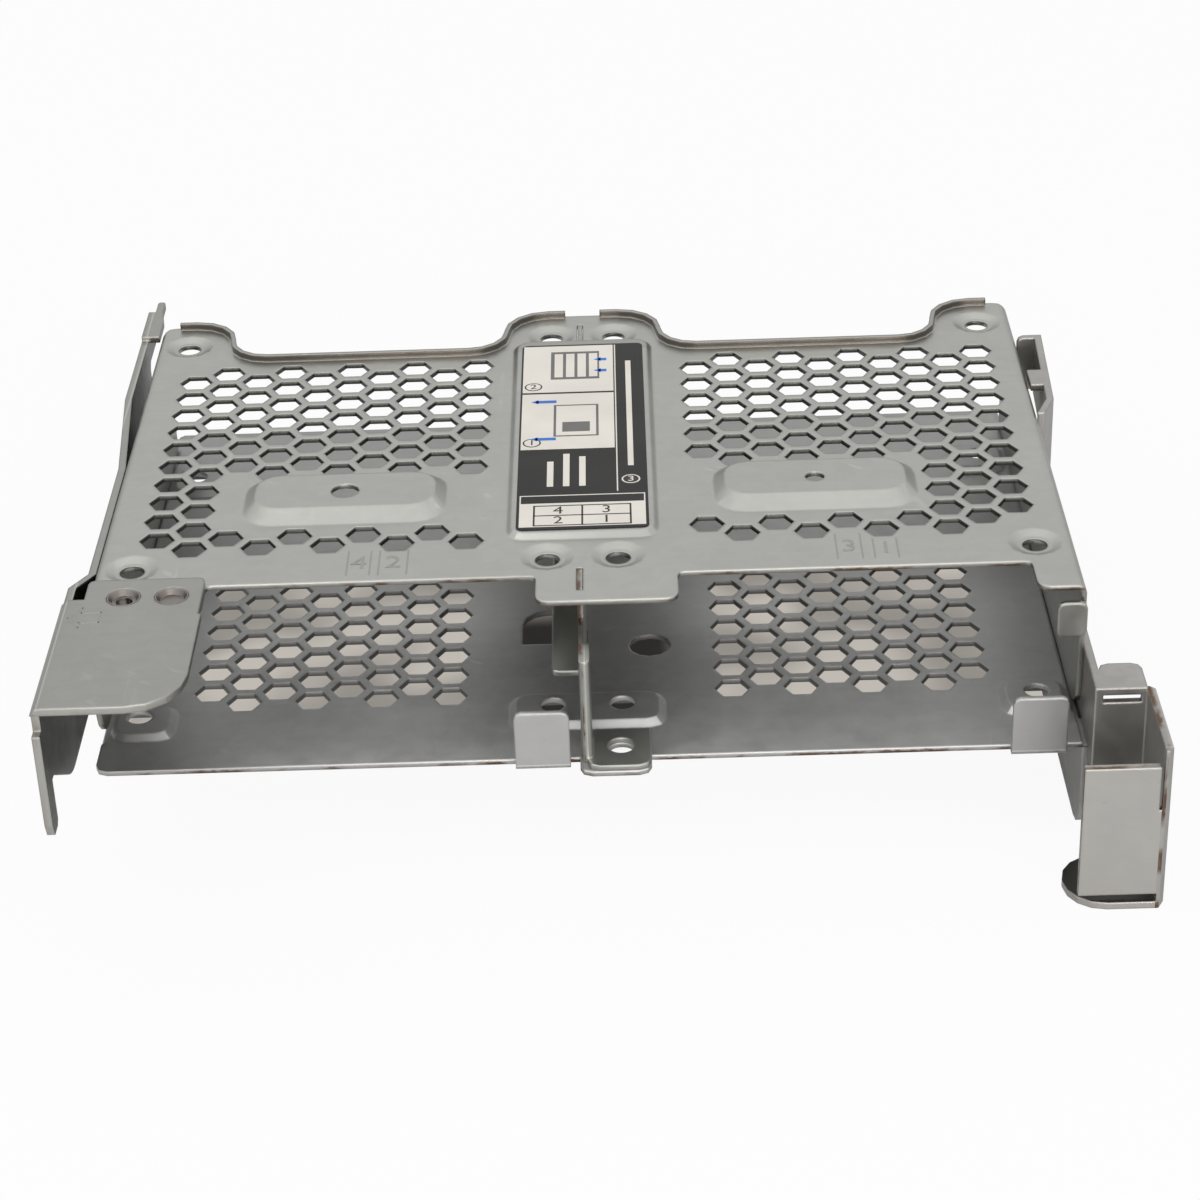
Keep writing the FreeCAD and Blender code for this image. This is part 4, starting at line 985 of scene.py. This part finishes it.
@dataclass
class LabelPrint:
    """Generic print on the label film: picture fields, badges, a table of bay numbers and plain bars.

    Places are in millimetres in the cage's own frame, and a box is left, front, right and rear edge.

    Args:
        cage: The cage's own frame.
        film_top: Level of the film's upper side.
        ink_rise: Thickness of one layer of ink.
        fields: White fields.
        rules: White lines between them.
        bars: White bars that stand for lines of text.
        table: Table of the four bays.
        table_line: Width of its lines.
        table_number: Height of its numbers.
        badges: Middle and number of each round badge.
        badge_radius: Outer and inner radius of a badge's ring.
        badge_number: Height of a badge's number.
        film_from: Place to the right of which the film is black.
        drive: Drawing of a drive, its face and its plug.
        slots: Drawing of four drives in their bays and the first of its slots.
        slot_pitch: Distance from slot to slot.
        drive_arrows: Middle of each arrow beside the drive.
        slot_arrows: Middle of each arrow beside the slots.
        bm: Mesh of the print.
    """

    cage: CageFrame
    film_top: float = 1.52
    ink_rise: float = 0.012
    fields: tuple[Box, ...] = ((-9.6, 7.4, 9.6, 14.8), (-9.75, 32.7, 5.1, 52.3), (-9.75, 52.9, 5.1, 70.3))
    rules: tuple[Box, ...] = (
        (-9.6, 17.15, 9.6, 17.4), (-9.6, 14.8, -9.4, 17.15), (9.4, 14.8, 9.6, 17.15),
        (5.3, 18.2, 5.5, 70.3))
    bars: tuple[Box, ...] = (
        (-5.5, 20.2, -4.5, 28.5), (-3.0, 20.2, -2.0, 31.0), (-0.5, 20.2, 0.5, 30.0), (7.1, 26.5, 8.0, 64.0))
    table: Box = (-7.35, 7.8, 7.3, 13.95)
    table_line: float = 0.28
    table_number: float = 2.3
    badges: tuple[tuple[Pair, str], ...] = (((-8.0, 35.0), "1"), ((-8.0, 55.0), "2"), ((7.5, 22.0), "3"))
    badge_radius: Pair = (1.45, 1.2)
    badge_number: float = 1.7
    film_from: float = 5.0
    drive: tuple[Box, ...] = ((-4.6, 37.0, 2.6, 48.2), (-4.2, 37.4, 2.2, 47.8), (-3.2, 38.6, 1.2, 42.0))
    slots: tuple[Box, Box] = ((-5.2, 57.6, 2.8, 68.0), (-4.6, 58.4, -3.2, 67.2))
    slot_pitch: float = 1.9
    drive_arrows: tuple[Pair, ...] = ((-6.4, 36.2), (-6.4, 49.4))
    slot_arrows: tuple[Pair, ...] = ((3.1, 60.6), (3.1, 64.8))
    bm: bmesh.types.BMesh = field(default_factory=bmesh.new)

    def build(self) -> bpy.types.Object:
        """Print the label.

        Returns:
            The print, as one piece.
        """
        film = InkFinish("film_black", (0.014, 0.013, 0.012), swing=0.25, roughness=0.5)
        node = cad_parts["label"]
        node.data.materials.clear()
        node.data.materials.append(film.material())
        inks = {
            Ink.WHITE: InkFinish("ink_white", (0.86, 0.815, 0.73), swing=0.04, roughness=0.5),
            Ink.BLACK: InkFinish("ink_black", (0.03, 0.028, 0.027), swing=0.2, roughness=0.45),
            Ink.BLUE: InkFinish("ink_blue", (0.035, 0.19, 0.66), swing=0.1, roughness=0.45),
            Ink.GREY: InkFinish("ink_grey", (0.16, 0.155, 0.15), swing=0.15, roughness=0.45),
        }
        for box in self.fields + self.rules + self.bars:
            self.patch(box, Ink.WHITE, 0)
        self.draw_table()
        self.draw_pictures()
        for middle, number in self.badges:
            on_film = middle[0] > self.film_from
            ring = Ink.WHITE if on_film else Ink.BLACK
            inside = Ink.BLACK if on_film else Ink.WHITE
            self.disc(middle, self.badge_radius[0], ring, 1)
            self.disc(middle, self.badge_radius[1], inside, 2)
            self.digit(number, middle, self.badge_number, ring, 3)
        return keep_piece(self.bm, "label_print", [inks[ink].material() for ink in Ink])

    def draw_table(self) -> None:
        """Print the table of the four bays with their numbers."""
        left, front, right, rear = self.table
        half = self.table_line / 2
        middle_x = (left + right) / 2
        middle_y = (front + rear) / 2
        for x in (left, middle_x, right):
            self.patch((x - half, front, x + half, rear), Ink.BLACK, 1)
        for y in (front, middle_y, rear):
            self.patch((left - half, y - half, right + half, y + half), Ink.BLACK, 1)
        numbers = (("4", left, rear), ("3", right, rear), ("2", left, front), ("1", right, front))
        for number, x, y in numbers:
            middle = ((middle_x + x) / 2, (middle_y + y) / 2)
            self.digit(number, middle, self.table_number, Ink.BLACK, 1)

    def draw_pictures(self) -> None:
        """Print plain drawings of a drive that slides in and of drives in their bays."""
        slot_count = 4
        drive_arrow = 4.4
        slot_arrow = 1.8
        for layer, (box, ink) in enumerate(zip(self.drive, (Ink.GREY, Ink.WHITE, Ink.GREY)), start=1):
            self.patch(box, ink, layer)
        for middle in self.drive_arrows:
            self.arrow(middle, drive_arrow)
        case, (left, front, right, rear) = self.slots
        self.patch(case, Ink.GREY, 1)
        for step in range(slot_count):
            shift = step * self.slot_pitch
            self.patch((left + shift, front, right + shift, rear), Ink.WHITE, 2)
        for middle in self.slot_arrows:
            self.arrow(middle, slot_arrow)

    def arrow(self, middle: Pair, length: float) -> None:
        """Print one stroke of the accent colour with a pointed end to the left.

        Args:
            middle: Middle of the arrow.
            length: Length of the arrow.
        """
        half_width = 0.45
        head = 0.8
        x, y = middle
        neck = x - length / 4
        self.patch((neck, y - half_width, x + length / 2, y + half_width), Ink.BLUE, 3)
        self.disc((neck, y), head, Ink.BLUE, 3, sides=3)

    def patch(self, box: Box, ink: Ink, layer: int) -> None:
        """Print a rectangle.

        Args:
            box: Its edges.
            ink: Its ink.
            layer: How many layers of ink lie below it.
        """
        left, front, right, rear = box
        place = Matrix.Translation(self.cage.at((left + right) / 2, (front + rear) / 2, self.level(layer)))
        size = Matrix.Diagonal(((right - left) / 2 * MM, (rear - front) / 2 * MM, 1, 1))
        made = bmesh.ops.create_grid(self.bm, x_segments=1, y_segments=1, size=1.0, matrix=place @ size)
        self.thicken({f for v in made["verts"] for f in v.link_faces}, ink)

    def disc(self, middle: Pair, radius: float, ink: Ink, layer: int, sides: int = 32) -> None:
        """Print a disc, or a regular shape with few sides whose first corner points to the left.

        Args:
            middle: Its middle.
            radius: Its radius.
            ink: Its ink.
            layer: How many layers of ink lie below it.
            sides: How many sides it has.
        """
        turn = Matrix.Rotation(math.radians(90), 4, "Z")
        place = Matrix.Translation(self.cage.at(*middle, self.level(layer))) @ turn
        made = bmesh.ops.create_circle(
            self.bm, cap_ends=True, segments=sides, radius=radius * MM, matrix=place)
        self.thicken({f for v in made["verts"] for f in v.link_faces}, ink)

    def digit(self, text: str, middle: Pair, height: float, ink: Ink, layer: int) -> None:
        """Print a number, centred on a place.

        Args:
            text: The number.
            middle: Its middle.
            height: Its height.
            ink: Its ink.
            layer: How many layers of ink lie below it.
        """
        mesh = number_mesh(text, height, 0.0)
        mesh.transform(Matrix.Translation(self.cage.at(*middle, self.level(layer))))
        before = set(self.bm.faces)
        self.bm.from_mesh(mesh)
        bpy.data.meshes.remove(mesh)
        self.thicken(set(self.bm.faces) - before, ink)

    def thicken(self, faces: set[bmesh.types.BMFace], ink: Ink) -> None:
        """Give printed faces their ink and its thickness.

        Args:
            faces: The flat faces.
            ink: Their ink.
        """
        made = bmesh.ops.extrude_face_region(self.bm, geom=list(faces))
        raised = [item for item in made["geom"] if isinstance(item, bmesh.types.BMVert)]
        bmesh.ops.translate(self.bm, vec=(0, 0, self.ink_rise * MM), verts=raised)
        for vert in raised:
            for face in vert.link_faces:
                face.material_index = ink.value

    def level(self, layer: int) -> float:
        """Level of a layer of ink."""
        return self.film_top + layer * self.ink_rise


@dataclass
class StampedMarks:
    """Marks struck into the sheets: bay numbers in frames on the cover and an arrow on the wing.

    Places are in millimetres in the cage's own frame.

    Args:
        cage: The cage's own frame.
        line: Width of a struck line.
        rise: Height of its burr.
        edge_share: Share of that height which the burr's edges are broken by.
        number_height: Height of a bay number.
        frames: Number and left, front, right and rear edge of each frame.
        arrow: Corners of the arrow.
        cover_level: Level of the cover's upper side.
        wing_level: Level of the wing's upper side.
    """

    cage: CageFrame
    line: float = 0.26
    rise: float = 0.08
    edge_share: float = 0.4
    number_height: float = 3.6
    frames: tuple[tuple[str, Box], ...] = (
        ("4", (-34.9, -3.9, -31.5, 3.2)), ("2", (-30.2, -4.0, -26.0, 3.2)),
        ("3", (37.6, -3.4, 41.3, 4.0)), ("1", (43.1, -3.4, 46.6, 2.4)))
    arrow: tuple[Pair, ...] = (
        (-74.0, -16.0), (-72.2, -13.2), (-72.2, -14.6), (-69.4, -14.6), (-69.4, -17.4), (-72.2, -17.4),
        (-72.2, -18.8))
    cover_level: float = 0.6
    wing_level: float = 1.8

    def build(self, material: bpy.types.Material) -> list[bpy.types.Object]:
        """Make the marks as fine burrs on the sheets.

        Args:
            material: Finish of the marks.

        Returns:
            The marks of the cover and the mark of the wing.
        """
        cover = bmesh.new()
        for text, (left, front, right, rear) in self.frames:
            for x in (left, right):
                self.stroke(cover, (x, front), (x, rear), self.cover_level)
            mesh = number_mesh(text, self.number_height, self.rise / 2)
            middle = self.cage.at((left + right) / 2, (front + rear) / 2, self.cover_level)
            mesh.transform(Matrix.Translation(middle))
            cover.from_mesh(mesh)
            bpy.data.meshes.remove(mesh)
        wing = bmesh.new()
        for start, end in zip(self.arrow, self.arrow[1:] + self.arrow[:1]):
            self.stroke(wing, start, end, self.wing_level)
        return [
            keep_piece(cover, "bay_number_stamps", [material]),
            keep_piece(wing, "wing_arrow_stamp", [material]),
        ]

    def stroke(self, bm: bmesh.types.BMesh, start: Pair, end: Pair, level: float) -> None:
        """Strike one straight line on a sheet.

        Args:
            bm: The mesh of the marks.
            start: First end.
            end: Second end.
            level: Level of the sheet's upper side.
        """
        run = Vector((end[0] - start[0], end[1] - start[1]))
        middle = self.cage.at((start[0] + end[0]) / 2, (start[1] + end[1]) / 2, level)
        turn = Matrix.Rotation(math.atan2(run.y, run.x), 4, "Z")
        size = Matrix.Diagonal(((run.length + self.line) * MM, self.line * MM, self.rise * MM, 1))
        made = bmesh.ops.create_cube(bm, size=1.0, matrix=Matrix.Translation(middle) @ turn @ size)
        edges = {e for v in made["verts"] for e in v.link_edges}
        bmesh.ops.bevel(
            bm, geom=list(edges), offset=self.rise * self.edge_share * MM, affect="EDGES", segments=1,
            profile=0.5, material=-1)


@dataclass(frozen=True)
class SoftLamp:
    """A soft studio lamp.

    Args:
        name: Name of the lamp.
        place: Where it hangs, in metres from the place that it lights.
        size: Width and height of its face, in metres.
        power: Power in watts.
        colour: Colour of its light.
    """

    name: str
    place: tuple[float, float, float]
    size: Pair
    power: float
    colour: Colour

    def build(self, target: Vector) -> None:
        """Hang the lamp and turn it to the cage.

        Args:
            target: The place that it lights.
        """
        data = bpy.data.lights.new(self.name, "AREA")
        data.shape = "RECTANGLE"
        data.size, data.size_y = self.size
        data.energy = self.power
        data.color = self.colour
        lamp = bpy.data.objects.new(self.name, data)
        bpy.context.scene.collection.objects.link(lamp)
        place = target + Vector(self.place)
        turn = (target - place).to_track_quat("-Z", "Y").to_matrix().to_4x4()
        lamp.matrix_world = Matrix.Translation(place) @ turn


@dataclass
class Studio:
    """Pale floor, white surroundings, soft lamps and the camera of the photograph.

    Args:
        cage: The cage's own frame.
        lens: Focal length on a 36 mm wide picture, in millimetres.
        camera: Place of the camera in the cage's own frame, in millimetres.
        elevation: How far the camera looks down, in degrees.
        azimuth: How far it looks to the side, in degrees.
        roll: How far it is turned about its own line of sight, in degrees.
        floor_reach: Half of the floor's width, in metres.
        floor_gap: How far the floor lies below the cage, in millimetres.
        floor_colour: Colour of the floor in the lamps' light.
        floor_shades: Darkest and palest colour of the floor in the cage's shade.
        deep_shade: Colour of the floor under the front half of the divider.
        shade_side: Where the shade fades to the sides, in millimetres.
        shade_front: Where it sets in behind the front, in millimetres.
        shade_rear: Where it fades to the rear, in millimetres.
        deep_side: Where the deep shade fades to the sides, in millimetres.
        deep_rear: Where it fades to the rear, in millimetres.
        seen_share: How plainly the camera sees the floor's pale colour.
        mirrored_share: How plainly reflections show it.
        room_colour: Colour of the room's light.
        room_strength: Strength of the room's light.
        ceiling: How much brighter the ceiling is than the walls, in reflections.
        horizon: How much darker the walls are near the floor, in reflections.
        aim: Place that the lamps light, in the cage's own frame, in millimetres.
        lamps: The lamps.
    """

    cage: CageFrame
    lens: float = 90.25
    camera: tuple[float, float, float] = (7.42, -388.61, 218.95)
    elevation: float = 30.19
    azimuth: float = -0.752
    roll: float = -2.124
    floor_reach: float = 3.0
    floor_gap: float = 0.1
    floor_colour: Colour = (0.88, 0.87, 0.86)
    floor_shades: tuple[Colour, Colour] = ((0.3, 0.28, 0.255), (0.55, 0.515, 0.465))
    deep_shade: Colour = (0.02, 0.018, 0.016)
    shade_side: Pair = (73.0, 77.0)
    shade_front: Pair = (4.0, 14.0)
    shade_rear: Pair = (64.0, 90.0)
    deep_side: Pair = (11.0, 18.0)
    deep_rear: Pair = (43.0, 52.0)
    seen_share: float = 0.93
    mirrored_share: float = 0.05
    room_colour: Colour = (0.95, 0.97, 1.0)
    room_strength: float = 0.7
    ceiling: float = 0.42
    horizon: float = 0.5
    aim: tuple[float, float, float] = (0.0, 30.0, -10.0)
    lamps: tuple[SoftLamp, ...] = (
        SoftLamp("key_lamp", (-0.5, -0.35, 0.9), (0.7, 0.7), 1.6, (1.0, 0.98, 0.95)),
        SoftLamp("front_lamp", (0.2, -1.0, 0.3), (0.9, 0.4), 4.5, (1.0, 0.96, 0.91)),
    )

    def build(self) -> None:
        """Set up the floor, the light and the camera."""
        self.lay_floor()
        self.light()
        self.place_camera()

    def lay_floor(self) -> None:
        """Lay the pale floor under the lowest point of the cage."""
        bm = bmesh.new()
        bmesh.ops.create_grid(bm, x_segments=1, y_segments=1, size=self.floor_reach)
        mesh = bpy.data.meshes.new("floor")
        bm.to_mesh(mesh)
        bm.free()
        floor = bpy.data.objects.new("floor", mesh)
        floor.location.z = CAD_BOX[0][2] - self.floor_gap * MM
        bpy.context.scene.collection.objects.link(floor)
        mesh.materials.append(self.floor_material())

    def floor_material(self) -> bpy.types.Material:
        """Make the floor's material: pale, with soft shade where the cage covers it.

        Returns:
            The material.
        """
        white = (1.0, 1.0, 1.0)
        cloud_ramp = (0.35, 0.65)
        made, desk, shader = new_material("pale_floor", metallic=0.0)
        desk.tree.nodes.remove(shader)
        matt = desk.add("BsdfDiffuse")
        matt.inputs["Color"].default_value = toned(self.floor_colour)
        glow = desk.add("Emission")
        place = desk.add("TexCoord").outputs["Object"]
        covered, enclosed = self.shade_masks(desk, place)
        clouds = desk.spread(desk.noise(place, Pattern(40.0, 1.0)), *cloud_ramp, 0.0, 1.0)
        shade = desk.mix(clouds, *(toned(colour) for colour in self.floor_shades))
        shade = desk.mix(enclosed, shade, toned(self.deep_shade))
        desk.feed(glow.inputs["Color"], desk.mix(covered, toned(white), shade))
        path = desk.add("LightPath")
        seen = desk.product(path.outputs["Is Camera Ray"], self.seen_share)
        mirrored = desk.product(path.outputs["Is Glossy Ray"], self.mirrored_share)
        mixed = desk.add("MixShader")
        desk.feed(mixed.inputs[0], desk.math("ADD", seen, mirrored))
        desk.feed(mixed.inputs[1], matt.outputs[0])
        desk.feed(mixed.inputs[2], glow.outputs[0])
        desk.feed(desk.tree.nodes["Material Output"].inputs["Surface"], mixed.outputs[0])
        return made

    def shade_masks(self, desk: Desk, place: Socket) -> tuple[Socket, Socket]:
        """Masks of the floor in the cage's shade, which shows through the cage's own holes.

        Args:
            desk: Shader tree of the floor.
            place: Place on the floor.

        Returns:
            Masks of the shade under the cage and of the deep shade under the front half of the divider.
        """
        across, depth, _ = desk.split(place)
        aside = desk.math("ABSOLUTE", desk.math("SUBTRACT", across, self.cage.origin.x))
        between = desk.spread(aside, *(end * MM for end in self.shade_side), 1.0, 0.0)
        behind = desk.spread(depth, *(self.cage.depth(end) for end in self.shade_front), 0.0, 1.0)
        before = desk.spread(depth, *(self.cage.depth(end) for end in self.shade_rear), 1.0, 0.0)
        middle = desk.spread(aside, *(end * MM for end in self.deep_side), 1.0, 0.0)
        in_front = desk.spread(depth, *(self.cage.depth(end) for end in self.deep_rear), 1.0, 0.0)
        return desk.product(between, behind, before), desk.product(middle, in_front)

    def light(self) -> None:
        """Set the white surroundings and hang the lamps."""
        ceiling_ramp = (0.5, 0.98)
        horizon_ramp = (0.05, 0.45)
        white = (1.0, 1.0, 1.0)
        world = bpy.data.worlds.new("studio")
        world.use_nodes = True
        bpy.context.scene.world = world
        desk = Desk(world.node_tree)
        room = desk.tree.nodes["Background"]
        room.inputs["Color"].default_value = toned(self.room_colour)
        room.inputs["Strength"].default_value = self.room_strength
        pale = desk.add("Background")
        pale.inputs["Color"].default_value = toned(white)
        height = desk.split(desk.add("TexCoord").outputs["Generated"])[Axis.Z.value]
        ceiling = desk.spread(height, *ceiling_ramp, 0.0, self.ceiling)
        horizon = desk.spread(height, *horizon_ramp, -self.horizon, 0.0)
        path = desk.add("LightPath")
        glossy = path.outputs["Is Glossy Ray"]
        mirrored = desk.product(desk.math("ADD", ceiling, horizon), glossy)
        desk.feed(pale.inputs["Strength"], desk.math("ADD", mirrored, 1.0))
        seen = desk.math("MAXIMUM", path.outputs["Is Camera Ray"], glossy)
        seen = desk.math("MAXIMUM", seen, path.outputs["Is Transmission Ray"])
        mixed = desk.add("MixShader")
        desk.feed(mixed.inputs[0], seen)
        desk.feed(mixed.inputs[1], room.outputs[0])
        desk.feed(mixed.inputs[2], pale.outputs[0])
        desk.feed(desk.tree.nodes["World Output"].inputs["Surface"], mixed.outputs[0])
        for lamp in self.lamps:
            lamp.build(self.cage.at(*self.aim))
        bpy.context.scene.view_settings.view_transform = "Standard"

    def place_camera(self) -> None:
        """Place the camera where the photograph was taken from."""
        picture_width = 36.0
        nearest = 0.01
        data = bpy.data.cameras.new("photo_camera")
        data.lens = self.lens
        data.sensor_width = picture_width
        data.clip_start = nearest
        camera = bpy.data.objects.new("photo_camera", data)
        bpy.context.scene.collection.objects.link(camera)
        turn = (Matrix.Rotation(math.radians(self.roll), 3, "Y")
                @ Matrix.Rotation(math.radians(self.elevation), 3, "X")
                @ Matrix.Rotation(math.radians(self.azimuth), 3, "Z"))
        right, ahead, up = turn
        axes = Matrix((right, up, -ahead)).transposed()
        camera.matrix_world = Matrix.Translation(self.cage.at(*self.camera)) @ axes.to_4x4()
        bpy.context.scene.camera = camera


def main() -> None:
    """Dress the cage and set up the studio."""
    logging.basicConfig(level=logging.INFO, format="%(name)s: %(message)s")
    cage = cage_frame()
    materials = SheetWork().dress(cage, SharedEffects())
    LabelPrint(cage).build()
    StampedMarks(cage).build(materials["stamps"])
    Studio(cage).build()


if __name__ == "__main__":
    main()
